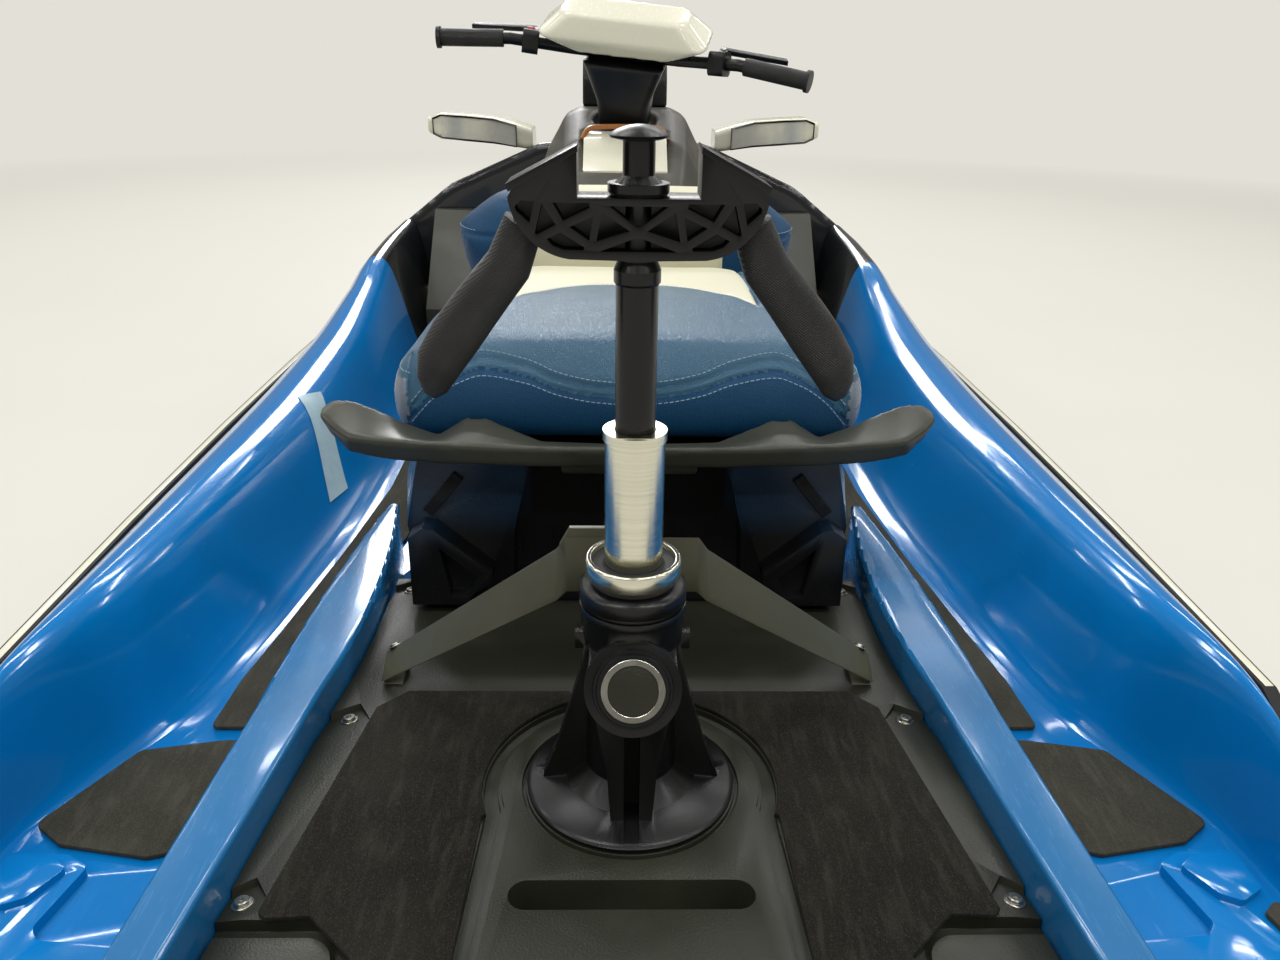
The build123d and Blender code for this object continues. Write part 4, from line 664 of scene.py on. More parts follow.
def gunwaleSkin(side, values):
    rows = values["stations"]
    first, last = rows[0][0], rows[-1][0]
    count = round((last - first) / values["step"])
    floor = values["floor"]
    loops = []
    for i in range(count + 1):
        y = first + (last - first) * i / count
        flange, top, foot = smoothTable(rows, y)
        flange = min(flange, halfBreadth(y))
        loop = [(foot + across * (flange - foot), floor + up * (top - floor))
                for across, up in values["section"]]
        loop.append((flange, floor + 0.25 * (top - floor)))
        loop.append((flange - 0.02, floor + 0.004))
        loop.append((foot + 0.02, floor + 0.001))
        # below the bond with the hull the skin tucks inside the hull's wall
        bond = between(y, values["bondRise"], values["bond"])
        loop = [(min(x, flange - values["tuck"]) if z < bond else x, z) for x, z in loop]
        loops.append([(side * x, y, z) for x, z in loop])
    width = len(loops[0])
    faces = loopFaces(count, width) + [
        tuple(range(width)), tuple(reversed(range(count * width, (count + 1) * width)))]
    mesh = facedOutward(meshFrom("gunwale", [point for loop in loops for point in loop], faces))
    mesh.materials.append(finishes["blueGelcoat"])
    secondFinish(mesh, "darkGelcoat", lambda face: face.center.y > values["darkFrom"])
    smoothShaded(mesh, 50)
    name = "gunwale_right" if side > 0 else "gunwale_left"
    return standIn(linked(name + "Skin", mesh), name)


gunwaleSkins = [gunwaleSkin(side, gunwaleValues) for side in (-1, 1)]
print("gunwales skinned")


# seats: foam cores swollen under their covers, then seams pressed in and stitched
seatValues = {
    "voxel": 0.006, "shrink": (-0.006, 0.003, 0.003), "held": (0.004, 0.03), "pressure": 4.0,
    "frames": 16, "cap": 0.009,
    "seamWidth": 0.0035, "seamDepth": 0.0026, "smooth": 26, "fill": 0.75,
    # height of the seam over the rear face, by distance from the middle
    "rearSeam": [(0.0, 0.455), (0.041, 0.458), (0.079, 0.465), (0.116, 0.477), (0.164, 0.484),
                 (0.192, 0.476), (0.219, 0.459), (0.247, 0.428)],
    # where the insert begins, by distance from the middle
    "insertArch": [(0.0, -0.770), (0.041, -0.772), (0.082, -0.789), (0.116, -0.821),
                   (0.135, -0.838), (0.152, -0.867), (0.172, -0.900)],
    "insertSide": 0.163, "sideSeam": 0.468, "corner": 0.25, "reach": 0.0017, "rearFace": -1.0,
    "band": 0.0095,
    # heights between which the rear face is seamed, how far out the sides begin, and the height
    # under which the rear seat's cover is deep blue
    "rearBand": (0.42, 0.49), "sidesFrom": 0.2, "deepBelow": 0.44,
    # the front seat's rear end, where its deep blue ends, and the gap beside its insert
    "frontBack": -0.5, "frontDeep": -0.38, "frontGap": 0.012,
    # the front seat's insert and side seam, by distance along the craft
    "frontInsert": [(-0.56, 0.148), (-0.44, 0.14), (-0.36, 0.09), (-0.2, 0.075), (-0.06, 0.055)],
    "frontSideSeam": [(-0.56, 0.545), (-0.44, 0.552), (-0.37, 0.49), (-0.2, 0.482), (-0.06, 0.5)],
}


def swollenSeat(name, values):
    mesh = cadNodes[name].data.copy()
    mesh.materials.clear()
    seat = linked(name + "Cover", mesh)
    low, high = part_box(name)
    middle = (low + high) / 2
    for vertex in mesh.vertices:
        for axis in range(3):
            half = (high[axis] - low[axis]) / 2
            share = 1 - values["shrink"][axis] / half
            vertex.co[axis] = middle[axis] + (vertex.co[axis] - middle[axis]) * share
    evenMesh(seat, values["voxel"])
    rest = [v.co.copy() for v in seat.data.vertices]
    held = seat.vertex_groups.new(name="held")
    foot, height = values["held"]
    for index, point in enumerate(rest):
        share = min(1.0, max(0.0, 1 - (point.z - low.z - foot) / height))
        if share > 0:
            held.add([index], share, "REPLACE")
    cloth = seat.modifiers.new("swell", "CLOTH")
    settings = cloth.settings
    settings.quality = 4
    settings.mass = 0.4
    settings.use_pressure = True
    settings.uniform_pressure_force = values["pressure"]
    settings.effector_weights.gravity = 0
    settings.vertex_group_mass = "held"
    cloth.collision_settings.use_collision = False
    cloth.point_cache.frame_start, cloth.point_cache.frame_end = 1, values["frames"]
    scene = bpy.context.scene
    for number in range(1, values["frames"] + 1):
        scene.frame_set(number)
    bakeModifiers(seat)
    for vertex, start in zip(seat.data.vertices, rest):
        move = vertex.co - start
        if move.length > values["cap"]:
            vertex.co = start + move * (values["cap"] / move.length)
    scene.frame_set(1)
    seat.vertex_groups.clear()
    return seat


def seamHeight(x):
    return smoothTable(seatValues["rearSeam"], abs(x))[0]


def archPlace(x):
    return smoothTable(seatValues["insertArch"], abs(x))[0]


def insertHalf(y):
    return smoothTable(seatValues["frontInsert"], y)[0]


def sideSeam(y):
    return smoothTable(seatValues["frontSideSeam"], y)[0]


def seamGaps(point, normal, name):
    # for each seam near this point of a cover: the axis across it, and how far off it is
    x, y, z = point
    side, out = (1 if x > 0 else -1), abs(x)
    insertSide, corner = seatValues["insertSide"], seatValues["corner"]
    bandLow, bandHigh = seatValues["rearBand"]
    gaps = []
    if name == "rear_seat":
        onRear = y < seatValues["rearFace"]
        if onRear and out < corner and z > bandLow:
            gaps.append((2, z - seamHeight(x)))
            gaps.append((2, z - seamHeight(x) - seatValues["band"]))
        if normal.z > 0.35:
            if out < insertSide:
                gaps.append((1, (y - archPlace(x)) * 0.9))
            if y > archPlace(insertSide):
                gaps.append((0, side * (out - insertSide)))
        if out > seatValues["sidesFrom"] and y > seatValues["rearFace"]:
            gaps.append((2, z - seatValues["sideSeam"]))
        if onRear and z < bandHigh:
            gaps.append((0, side * (out - corner)))
    else:
        if normal.z > 0.2 or y < seatValues["frontBack"]:
            gaps.append((0, side * (out - insertHalf(y))))
        if out > insertHalf(y) + seatValues["frontGap"]:
            gaps.append((2, z - sideSeam(y)))
    return gaps


def pressSeams(seat, name):
    # points near a seam are drawn onto it, then everything along it sinks
    mesh = seat.data
    width, depth, reach = (seatValues[k] for k in ("seamWidth", "seamDepth", "reach"))
    for vertex in mesh.vertices:
        for axis, gap in seamGaps(vertex.co, vertex.normal, name):
            if abs(gap) < reach:
                vertex.co[axis] -= gap
                break
    mesh.update()
    moves = []
    for vertex in mesh.vertices:
        drop = 0.0
        for _, gap in seamGaps(vertex.co, vertex.normal, name):
            drop = max(drop, math.exp(-(gap / width) ** 2))
        moves.append(vertex.normal * (-depth * drop) if drop > 0.01 else None)
    for vertex, move in zip(mesh.vertices, moves):
        if move is not None:
            vertex.co += move


def coverZone(point, normal, name):
    # which of the cover's four finishes a face wears
    x, y, z = point
    if name == "rear_seat":
        onRear = y < seatValues["rearFace"]
        edge = seatValues["corner" if onRear else "sidesFrom"]
        # the sides below their seam wear the pale vinyl: a glossier panel with a painted sheen
        if abs(x) > edge and z < seatValues["sideSeam"]:
            return 3
        if onRear and z < seamHeight(x):
            return 1
        if normal.z > 0.3 and abs(x) < seatValues["insertSide"] and y > archPlace(x):
            return 2
        return 1 if z < seatValues["deepBelow"] else 0
    if abs(x) < insertHalf(y) and (normal.z > 0.2 or y < seatValues["frontBack"]):
        return 2
    return 1 if z < sideSeam(y) or y < seatValues["frontDeep"] else 0


def finishSeat(name):
    seat = swollenSeat(name, seatValues)
    smoothMesh(seat.data, seatValues["smooth"])
    finer = seat.modifiers.new("finer", "SUBSURF")
    finer.levels = finer.render_levels = 1
    bakeModifiers(seat)
    pressSeams(seat, name)
    mesh = seat.data
    mesh.materials.clear()
    for finish in ("blueVinyl", "deepBlueVinyl", "creamVinyl", "sideVinyl"):
        mesh.materials.append(finishes[finish])
    for face in mesh.polygons:
        face.material_index = coverZone(face.center, face.normal, name)
    smoothShaded(mesh)
    standIn(seat, name)
    return seat


seatCovers = {name: finishSeat(name) for name in ("rear_seat", "front_seat")}
print("seats covered")


# stitches: a row of thread along a line that lies on a cover
stitchValues = {"Length": 0.0042, "Pitch": 0.0062, "Thread": 0.00055}
stitchLift, threadColour = 0.0003, "7f9fb6"
threadFinish = newFinish("thread", threadColour, 0.7)
tint(threadFinish, noise(threadFinish, 900, 2), "b9cad6", 0.4, 0.7, 0.6)
bump(threadFinish, cells(threadFinish, 1800), 0.0002, 0.7)


def newTree(name, inputs):
    tree = bpy.data.node_groups.new(name, "GeometryNodeTree")
    for label, kind in (("Geometry", "Geometry"), *inputs):
        tree.interface.new_socket(label, in_out="INPUT", socket_type="NodeSocket" + kind)
    tree.interface.new_socket("Geometry", in_out="OUTPUT", socket_type="NodeSocketGeometry")
    return tree, tree.nodes.new("NodeGroupInput"), tree.nodes.new("NodeGroupOutput")


def makeStitchTree():
    tree, start, end = newTree("stitchRow", (("Pitch", "Float"), ("Length", "Float"),
                                             ("Thread", "Float"), ("Finish", "Material")))
    nodes = tree.nodes
    curve = nodes.new("GeometryNodeMeshToCurve")
    even = nodes.new("GeometryNodeResampleCurve")
    even.mode = "LENGTH"
    stitch = nodes.new("GeometryNodeMeshCylinder")
    stitch.inputs["Vertices"].default_value = 6
    turn = nodes.new("FunctionNodeAlignRotationToVector")
    turn.axis = "Z"
    tangent = nodes.new("GeometryNodeInputTangent")
    place = nodes.new("GeometryNodeInstanceOnPoints")
    solid = nodes.new("GeometryNodeRealizeInstances")
    finish = nodes.new("GeometryNodeSetMaterial")
    connect(tree, (
        (start, "Geometry", curve, "Mesh"), (curve, "Curve", even, "Curve"),
        (start, "Pitch", even, "Length"), (start, "Length", stitch, "Depth"),
        (start, "Thread", stitch, "Radius"), (tangent, "Tangent", turn, "Vector"),
        (even, "Curve", place, "Points"), (stitch, "Mesh", place, "Instance"),
        (turn, "Rotation", place, "Rotation"), (place, "Instances", solid, "Geometry"),
        (solid, "Geometry", finish, "Geometry"), (start, "Finish", finish, "Material"),
        (finish, "Geometry", end, "Geometry")))
    return tree


def applyTree(obj, tree, values):
    modifier = obj.modifiers.new(tree.name, "NODES")
    modifier.node_group = tree
    for item in tree.interface.items_tree:
        if item.item_type == "SOCKET" and item.in_out == "INPUT" and item.name in values:
            modifier[item.identifier] = values[item.name]
    bakeModifiers(obj)


stitchTree = makeStitchTree()


def linesOnCover(seat, lines, lift):
    # each line is a list of (start, direction) rays; where they meet the cover the row runs
    surface = surfaceOf(seat.data)
    corners, edges = [], []
    for line in lines:
        broken = True
        for origin, direction in line:
            hit, normal, _, _ = surface.ray_cast(Vector(origin), Vector(direction))
            if hit is not None:
                corners.append(hit + normal * lift)
                if not broken:
                    edges.append((len(corners) - 2, len(corners) - 1))
            broken = hit is None
    return meshFrom("seamLine", corners, edges=edges)


def stitchRows(name, seat, lines):
    rows = linked(name, linesOnCover(seatCovers[seat], lines, stitchLift))
    applyTree(rows, stitchTree, {**stitchValues, "Finish": threadFinish})
    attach(rows, cadNodes[seat]["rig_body"])


def span(low, high, step):
    count = max(2, round((high - low) / step))
    return [low + (high - low) * i / count for i in range(count + 1)]


# the rows are found from astern, from above and from the side they are on (metres)
rowValues = {"astern": -1.4, "above": 0.9, "abeam": 0.5, "across": 0.003, "along": 0.004,
             "rearRises": (-0.0065, 0.016), "rearHalf": 0.243, "archHalf": 0.158,
             "archGap": -0.006, "topOut": 0.169, "topRun": (-0.86, -0.575), "sideHeight": 0.4745,
             "sideRun": (-1.03, -0.575), "frontRun": (-0.54, -0.08), "frontTopGap": 0.007,
             "frontSideGap": 0.006}


def coverRows(values):
    ahead, down = (0, 1, 0), (0, 0, -1)
    astern, above, abeam = values["astern"], values["above"], values["abeam"]
    half, archHalf, topOut = values["rearHalf"], values["archHalf"], values["topOut"]
    rear = [[((x, astern, seamHeight(x) + rise), ahead)
             for x in span(-half, half, values["across"])] for rise in values["rearRises"]]
    rear.append([((x, archPlace(x) + values["archGap"], above), down)
                 for x in span(-archHalf, archHalf, values["across"])])
    front = []
    topRun, sideRun, frontRun = (span(*values[k], values["along"])
                                 for k in ("topRun", "sideRun", "frontRun"))
    for side in (-1, 1):
        inward = (-side, 0, 0)
        rear += [[((side * topOut, y, above), down) for y in topRun],
                 [((side * abeam, y, values["sideHeight"]), inward) for y in sideRun]]
        front += [[((side * (insertHalf(y) + values["frontTopGap"]), y, above), down)
                   for y in frontRun],
                  [((side * abeam, y, sideSeam(y) + values["frontSideGap"]), inward)
                   for y in frontRun]]
    return rear, front


rearLines, frontLines = coverRows(rowValues)
stitchRows("rearSeatStitches", "rear_seat", rearLines)
stitchRows("frontSeatStitches", "front_seat", frontLines)
print("seats stitched")


# small parts turned on a lathe: profile of (radius, height) points from the bottom up
def turnedMesh(name, profile, count=48):
    corners = []
    for radius, height in profile:
        for i in range(count):
            angle = 2 * math.pi * i / count
            corners.append((radius * math.cos(angle), radius * math.sin(angle), height))
    return facedOutward(meshFrom(name, corners, loopFaces(len(profile) - 1, count)), 0.000001)


def addPiece(name, mesh, finish, body="craft", place=None):
    if place is not None:
        mesh.transform(place)
    mesh.materials.clear()
    mesh.materials.append(finishes[finish])
    smoothShaded(mesh, 35)
    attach(linked(name, mesh), body)


def facing(place, direction):
    turn = Vector(direction).to_track_quat("Z", "Y").to_matrix().to_4x4()
    return Matrix.Translation(place) @ turn


# lock knob: a plain disc with one bright ring round it (metres)
knobValues = {"centre": (0, -1.451, 0.343), "tilt": 22, "face": 0.0078,
              "disc": [(0, 0), (0.0249, 0), (0.0249, 0.0006), (0.0243, 0.0009), (0, 0.0011)],
              "ring": [(0.0205, 0.0010), (0.0205, 0.0015), (0.0209, 0.0018), (0.0252, 0.0018),
                       (0.0256, 0.0015), (0.0256, 0.0004)]}
knobTilt = math.radians(knobValues["tilt"])
knobFacing = Vector((0, -math.cos(knobTilt), math.sin(knobTilt)))
knobPlace = facing(Vector(knobValues["centre"]) + knobFacing * knobValues["face"], knobFacing)
for name, part, finish in (("knobDisc", "disc", "oliveMoulding"),
                           ("knobRing", "ring", "satinSteel")):
    addPiece(name, turnedMesh(name, knobValues[part], 64), finish, place=knobPlace)


# screws: socket heads on washers, placed on points by a node tree
screwValues = {"washer": 0.0088, "head": 0.0062, "rise": 0.0045, "socket": 0.0031, "depth": 0.0026,
               "seed": 7}
screwSites = [
    # (piece, x, y, height to look from, way to look, size), on both sides
    ("platform_panel", 0.265, -1.036, 0.24, -1, 1.0),
    ("platform_panel", 0.278, -1.295, 0.24, -1, 1.0),
    ("platform_panel", 0.3045, -1.529, 0.24, -1, 1.0),
    ("mast_brace", 0.246, -1.214, 0.30, -1, 0.8),
    ("ride_plate", 0.100, -1.20, -0.40, 1, 1.0),
    ("ride_plate", 0.100, -1.46, -0.40, 1, 1.0),
]


def screwMesh(values):
    count = 24
    washer, head, socket, rise = (values[k] for k in ("washer", "head", "socket", "rise"))
    rings = [(washer, 0.0), (washer, 0.0008), (washer * 0.93, 0.0013), (head, 0.0013),
             (head, rise - 0.0008), (head - 0.0007, rise), (socket * 1.25, rise),
             (None, rise), (None, rise - values["depth"])]  # the last two are the six-sided socket
    corners = []
    for radius, height in rings:
        for i in range(count):
            angle = 2 * math.pi * i / count
            turned = math.radians(math.degrees(angle) % 60 - 30)
            reach = radius or socket * math.cos(math.radians(30)) / math.cos(turned)
            corners.append((reach * math.cos(angle), reach * math.sin(angle), height))
    last = len(rings) - 1
    faces = loopFaces(last, count) + [tuple(range(last * count, (last + 1) * count)),
                                      tuple(reversed(range(count)))]
    return meshFrom("screw", corners, faces)


def makeScrewTree():
    tree, start, end = newTree("screwPlaces", (("Screw", "Object"), ("Seed", "Int"),
                                               ("Finish", "Material")))
    nodes = tree.nodes
    points = nodes.new("GeometryNodeMeshToPoints")
    facingField = nodes.new("GeometryNodeInputNamedAttribute")
    sizeField = nodes.new("GeometryNodeInputNamedAttribute")
    for field, name, kind in ((facingField, "facing", "FLOAT_VECTOR"),
                              (sizeField, "size", "FLOAT")):
        field.data_type = kind
        field.inputs["Name"].default_value = name
    aim = nodes.new("FunctionNodeAlignRotationToVector")
    aim.axis = "Z"
    info = nodes.new("GeometryNodeObjectInfo")
    place = nodes.new("GeometryNodeInstanceOnPoints")
    chance = nodes.new("FunctionNodeRandomValue")
    chance.data_type = "FLOAT"
    low, high = [s for s in chance.inputs if s.type == "VALUE" and s.name in ("Min", "Max")]
    low.default_value, high.default_value = 0.0, 6.283  # a full turn
    spin = nodes.new("GeometryNodeRotateInstances")
    spin.inputs["Local Space"].default_value = True
    turn = nodes.new("ShaderNodeCombineXYZ")
    solid = nodes.new("GeometryNodeRealizeInstances")
    finish = nodes.new("GeometryNodeSetMaterial")
    tree.links.new([s for s in chance.outputs if s.type == "VALUE"][0], turn.inputs["Z"])
    connect(tree, (
        (start, "Geometry", points, "Mesh"), (points, "Points", place, "Points"),
        (start, "Screw", info, "Object"), (info, "Geometry", place, "Instance"),
        (facingField, "Attribute", aim, "Vector"), (aim, "Rotation", place, "Rotation"),
        (sizeField, "Attribute", place, "Scale"), (start, "Seed", chance, "Seed"),
        (place, "Instances", spin, "Instances"), (turn, "Vector", spin, "Rotation"),
        (spin, "Instances", solid, "Geometry"), (solid, "Geometry", finish, "Geometry"),
        (start, "Finish", finish, "Material"), (finish, "Geometry", end, "Geometry")))
    return tree


def makeScrews(values, sites):
    places = []
    for name, x, y, height, way, size in sites:
        surface = surfaceOf(cadNodes[name].data)
        for side in (-1, 1):
            hit, normal, _, _ = surface.ray_cast(Vector((side * x, y, height)), Vector((0, 0, way)))
            if hit is not None:
                places.append((hit, normal, size))
    mesh = meshFrom("screwPoints", [place for place, _, _ in places])
    mesh.attributes.new("facing", "FLOAT_VECTOR", "POINT")
    mesh.attributes.new("size", "FLOAT", "POINT")
    for index, (_, normal, size) in enumerate(places):
        mesh.attributes["facing"].data[index].vector = normal
        mesh.attributes["size"].data[index].value = size
    screw = linked("screwShape", screwMesh(values))
    screws = linked("craftScrews", mesh)
    applyTree(screws, makeScrewTree(), {"Screw": screw, "Seed": values["seed"],
                                        "Finish": finishes["satinSteel"]})
    smoothShaded(screws.data, 30)
    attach(screws, "craft")
    bpy.data.objects.remove(screw)
    print("screws:", len(places), "places,", len(screws.data.polygons), "faces")


makeScrews(screwValues, screwSites)
print("knob ringed and screws placed")


# straps on the rear face of the pedestal
strapValues = {"ends": ((0.195, -1.0625, 0.363), (0.2325, -1.0625, 0.317)), "width": 0.014,
               "thick": 0.003, "bow": 0.004, "rows": 10}


def strapMesh(side, values):
    start, end = (Vector(p) for p in values["ends"])
    along = (end - start).normalized()
    across = along.cross(Vector((0, -1, 0)))
    corners = []
    rows = values["rows"]
    for i in range(rows + 1):
        t = i / rows
        middle = start.lerp(end, t) + Vector((0, -values["bow"] * math.sin(math.pi * t), 0))
        for u, lift in ((-0.5, 0), (-0.42, 1), (0.42, 1), (0.5, 0)):
            point = middle + across * (u * values["width"]) - Vector((0, lift * values["thick"], 0))
            corners.append((side * point.x, point.y, point.z))
    faces = loopFaces(rows, 4) + [(0, 1, 2, 3), tuple(rows * 4 + j for j in (3, 2, 1, 0))]
    return facedOutward(meshFrom("strap", corners, faces))


for side, word in ((-1, "Left"), (1, "Right")):
    addPiece("pedestalStrap" + word, strapMesh(side, strapValues), "webbing")


# a blank protective film, stuck to the port gunwale's inner wall
filmValues = {"corners": ((-0.521, -0.595, 0.296), (-0.503, -0.537, 0.285),
                          (-0.437, -0.677, 0.173), (-0.447, -0.746, 0.179)),
              "down": 16, "across": 4, "lift": 0.0013}


def filmMesh(skin, values):
    surface = surfaceOf(skin.data)
    first, second, third, fourth = (Vector(c) for c in values["corners"])
    down, across = values["down"], values["across"]
    corners = []
    for i in range(down + 1):
        start, end = first.lerp(fourth, i / down), second.lerp(third, i / down)
        for j in range(across + 1):
            place, normal, _, _ = surface.find_nearest(start.lerp(end, j / across))
            corners.append(place + normal * values["lift"])
    starts = [i * (across + 1) + j for i in range(down) for j in range(across)]
    mesh = meshFrom("film", corners, [(a, a + 1, a + across + 2, a + across + 1) for a in starts])
    if mesh.polygons[0].normal.x < 0:
        mesh.flip_normals()
    return mesh


addPiece("gunwaleFilm", filmMesh(gunwaleSkins[0], filmValues), "blankFilm")


# mirrors: a dark rim with the glass in it, on the face that looks aft
# (x, y and z of the middle of that face, half height)
mirrorValues = {"rows": [(0.262, 0.478, 0.609, 0.0255), (0.315, 0.4585, 0.622, 0.0285),
                         (0.380, 0.4380, 0.6285, 0.0285), (0.436, 0.4215, 0.634, 0.0265),
                         (0.456, 0.4235, 0.6345, 0.0185)],
                "rim": 0.0045, "proud": 0.0035, "evened": 0.16, "rimFoot": 0.3, "sunk": 0.35}


def mirrorFace(side, values):
    rows = values["rows"]
    outline = [(x, y, z + half) for x, y, z, half in rows]
    outline += [(x, y, z - half) for x, y, z, half in reversed(rows)]
    middle = sum((Vector(p) for p in outline), Vector()) / len(outline)
    aft = Vector((0, -values["proud"], 0))
    rim, glass = [], []
    for place in outline:
        point = Vector(place)
        inward = middle - point
        inward.x *= values["evened"]  # long and low, so the rim keeps an even width
        inner = point + inward.normalized() * values["rim"]
        rim += [point, point + aft, inner + aft, inner + aft * values["rimFoot"]]
        glass.append(inner + aft * values["sunk"])
    count = len(outline)
    faces = [(i * 4 + j, (i + 1) % count * 4 + j, (i + 1) % count * 4 + (j + 1) % 4,
              i * 4 + (j + 1) % 4) for i in range(count) for j in range(4)]
    quads = [(i, i + 1, count - 2 - i, count - 1 - i) for i in range(count // 2 - 1)]
    rimMesh, glassMesh = (
        facedOutward(meshFrom(name, [(side * p.x, p.y, p.z) for p in points], shape))
        for name, points, shape in (("mirrorRim", rim, faces), ("mirrorGlass", glass, quads)))
    if sum(face.normal.y for face in glassMesh.polygons) > 0:
        glassMesh.flip_normals()
    return rimMesh, glassMesh


for side, word in ((-1, "Left"), (1, "Right")):
    rimMesh, glassMesh = mirrorFace(side, mirrorValues)
    addPiece("mirrorRim" + word, rimMesh, "blackMoulding")
    addPiece("mirrorGlass" + word, glassMesh, "mirrorGlass")
print("straps and mirrors dressed")


# trim along the upper edge of the glovebox lid
trimValues = {"path": [(-0.088, 0.066, 0.638), (-0.083, 0.089, 0.658), (-0.045, 0.095, 0.662),
                       (0.045, 0.095, 0.662), (0.083, 0.089, 0.658), (0.088, 0.066, 0.638)],
              "radius": 0.0055}


def tubeMesh(name, points, radius):
    curve = bpy.data.curves.new(name, "CURVE")
    curve.dimensions = "3D"
    spline = curve.splines.new("NURBS")
    spline.points.add(len(points) - 1)
    for point, place in zip(spline.points, points):
        point.co = (*place, 1)
    spline.order_u = 3
    spline.use_endpoint_u = True
    curve.bevel_depth = radius
    curve.bevel_resolution = 2
    curve.use_fill_caps = True
    curve.resolution_u = 8
    holder = linked(name, curve)
    mesh = plainMesh(holder)
    bpy.data.objects.remove(holder)
    return mesh


addPiece("gloveboxTrim", tubeMesh("gloveboxTrim", trimValues["path"], trimValues["radius"]),
         "amberTrim", "glovebox_lid")

# buttons on the control pods, and a screen in the gauge pod
buttonProfile = [(0, 0), (1.0, 0), (1.0, 0.3), (0.86, 0.5), (0, 0.56)]
buttonSink, lookFrom = 0.0005, 1.2
buttonValues = [
    # (name, x, y, radius, finish)
    ("stopButton", -0.193, 0.128, 0.009, "redPlastic"),
    ("startButton", -0.184, 0.152, 0.005, "satinSteel"),
    ("modeButton", 0.1965, 0.081, 0.006, "satinSteel"),
    ("speedButton", 0.189, 0.063, 0.006, "satinSteel"),
]
screenValues = {"middle": (0, 0.3235, 0.7695), "facing": (0, -0.852, 0.523),
                "size": (0.036, 0.15), "corner": 0.007, "thick": 0.0022}


def plateMesh(name, size, corner, thick, steps=5):
    # a flat plate with round corners, standing on its back
    outline = []
    for quarter in range(4):
        for i in range(steps + 1):
            angle = math.pi / 2 * (quarter + i / steps)
            across = (size[0] / 2 - corner) * (1 if quarter in (0, 3) else -1)
            up = (size[1] / 2 - corner) * (1 if quarter in (0, 1) else -1)
            outline.append((across + corner * math.cos(angle), up + corner * math.sin(angle)))
    count = len(outline)
    faces = loopFaces(1, count) + [tuple(reversed(range(count))), tuple(range(count, 2 * count))]
    return meshFrom(name, [(x, y, z) for z in (0, thick) for x, y in outline], faces)


podSurface = surfaceOf(cadNodes["control_pods"].data)
for name, x, y, radius, finish in buttonValues:
    hit, normal, _, _ = podSurface.ray_cast(Vector((x, y, lookFrom)), Vector((0, 0, -1)))
    profile = [(r * radius, h * radius) for r, h in buttonProfile]
    addPiece(name, turnedMesh(name, profile, 24), finish, "steering",
             facing(hit - normal * buttonSink, normal))
screen = plateMesh("gaugeScreen", *(screenValues[k] for k in ("size", "corner", "thick")))
addPiece("gaugeScreen", screen, "screenGlass",
         place=facing(Vector(screenValues["middle"]), screenValues["facing"]))
print("buttons and screen placed")

# room: a pale floor at the waterline that fades into an even surround, ceiling panels, and a
# tall window ahead that shows in everything glossy
room = {"floor": "dedbd2", "floorShade": "d6d3c9", "reach": 60, "fade": (2.6, 7.0),
        "floorGlow": 0.55, "surround": "e6e3da", "ambient": 0.3, "seen": 0.97,
        "panelWatts": 17.5, "panelSize": (1.3, 0.16), "panelHeight": 3.0,
        "rows": (-3.8, -1.9, 0.0, 1.9, 3.8), "columns": (-3.0, -1.0, 1.0, 3.0),
        "windowPlace": (-0.9, 7.5, 4.3), "windowAim": (0, -0.8, 0.4), "windowSize": (2.6, 1.9),
        "windowWatts": 210}


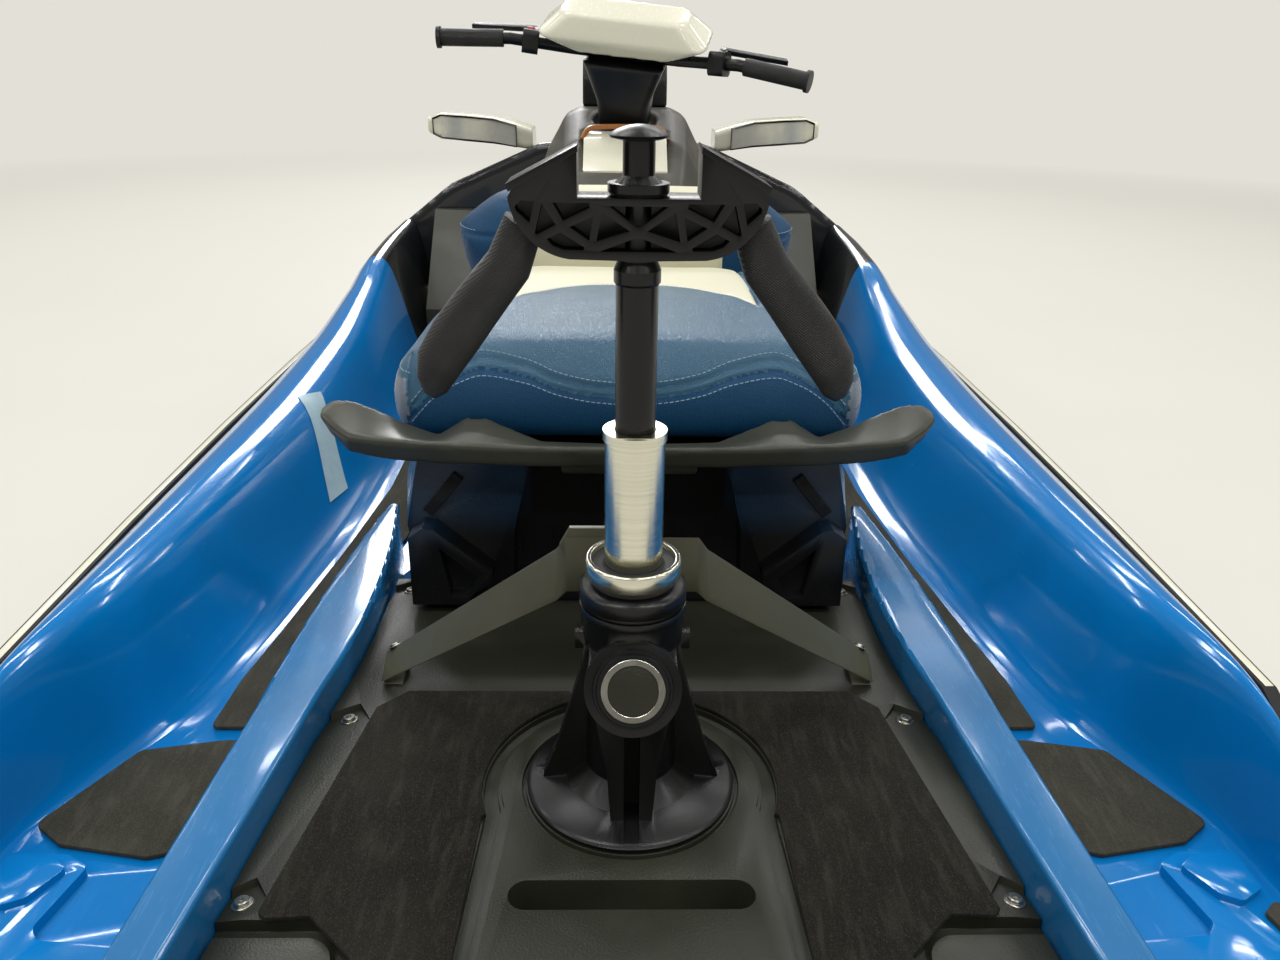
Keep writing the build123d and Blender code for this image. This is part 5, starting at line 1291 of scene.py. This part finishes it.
def makeFloorPaint(values):
    paint = newFinish("floorPaint", values["floor"], 0.5)
    tint(paint, noise(paint, 1.3, 3), values["floorShade"], 0.4, 0.8, 0.4)
    distance = newNode(paint, "VectorMath")
    distance.operation = "LENGTH"
    wire(paint, objectPlace(paint), distance.inputs[0])
    far = spread(paint, distance.outputs["Value"], *values["fade"])
    rays = newNode(paint, "LightPath")
    near = spread(paint, rays.outputs["Is Camera Ray"], 0, 1, 0, values["floorGlow"])
    glow = newNode(paint, "Emission", {"Color": hexColour(values["surround"]),
                                       "Strength": values["seen"]})
    mix = newNode(paint, "MixShader")
    wire(paint, combined(paint, "MAXIMUM", far, near), mix.inputs["Fac"])
    connect(paint.node_tree, (
        (shaderOf(paint), "BSDF", mix, 1), (glow, "Emission", mix, 2),
        (mix, "Shader", paint.node_tree.nodes["Material Output"], "Surface")))
    return paint


def makeLamp(name, size, watts, place, aim):
    data = bpy.data.lights.new(name, "AREA")
    data.shape = "RECTANGLE"
    data.size, data.size_y = size
    data.energy = watts
    lamp = linked(name, data)
    lamp.location = place
    lamp.rotation_euler = (Vector(aim) - Vector(place)).to_track_quat("-Z", "Y").to_euler()


def makeRoom(values):
    far = values["reach"]
    mesh = meshFrom("floor", [(-far, -far, 0), (far, -far, 0), (far, far, 0), (-far, far, 0)],
                    [(0, 1, 2, 3)])
    mesh.materials.append(makeFloorPaint(values))
    linked("floor", mesh)
    world = bpy.context.scene.world = bpy.data.worlds.new("surround")
    world.use_nodes = True
    nodes = world.node_tree.nodes
    back, seen = nodes["Background"], newNode(world, "Background")
    for node, strength in ((back, values["ambient"]), (seen, values["seen"])):
        node.inputs["Color"].default_value = hexColour(values["surround"])
        node.inputs["Strength"].default_value = strength
    rays, mix = newNode(world, "LightPath"), newNode(world, "MixShader")
    connect(world.node_tree, (
        (rays, "Is Camera Ray", mix, "Fac"), (back, "Background", mix, 1),
        (seen, "Background", mix, 2), (mix, "Shader", nodes["World Output"], "Surface")))
    for row in values["rows"]:
        for column in values["columns"]:
            makeLamp("ceilingPanel", values["panelSize"], values["panelWatts"],
                     (column, row, values["panelHeight"]), (column, row, 0))
    makeLamp("windowLight", values["windowSize"], values["windowWatts"], values["windowPlace"],
             values["windowAim"])


makeRoom(room)
print("room and lamps made")

bpy.context.scene.view_settings.view_transform = "Standard"
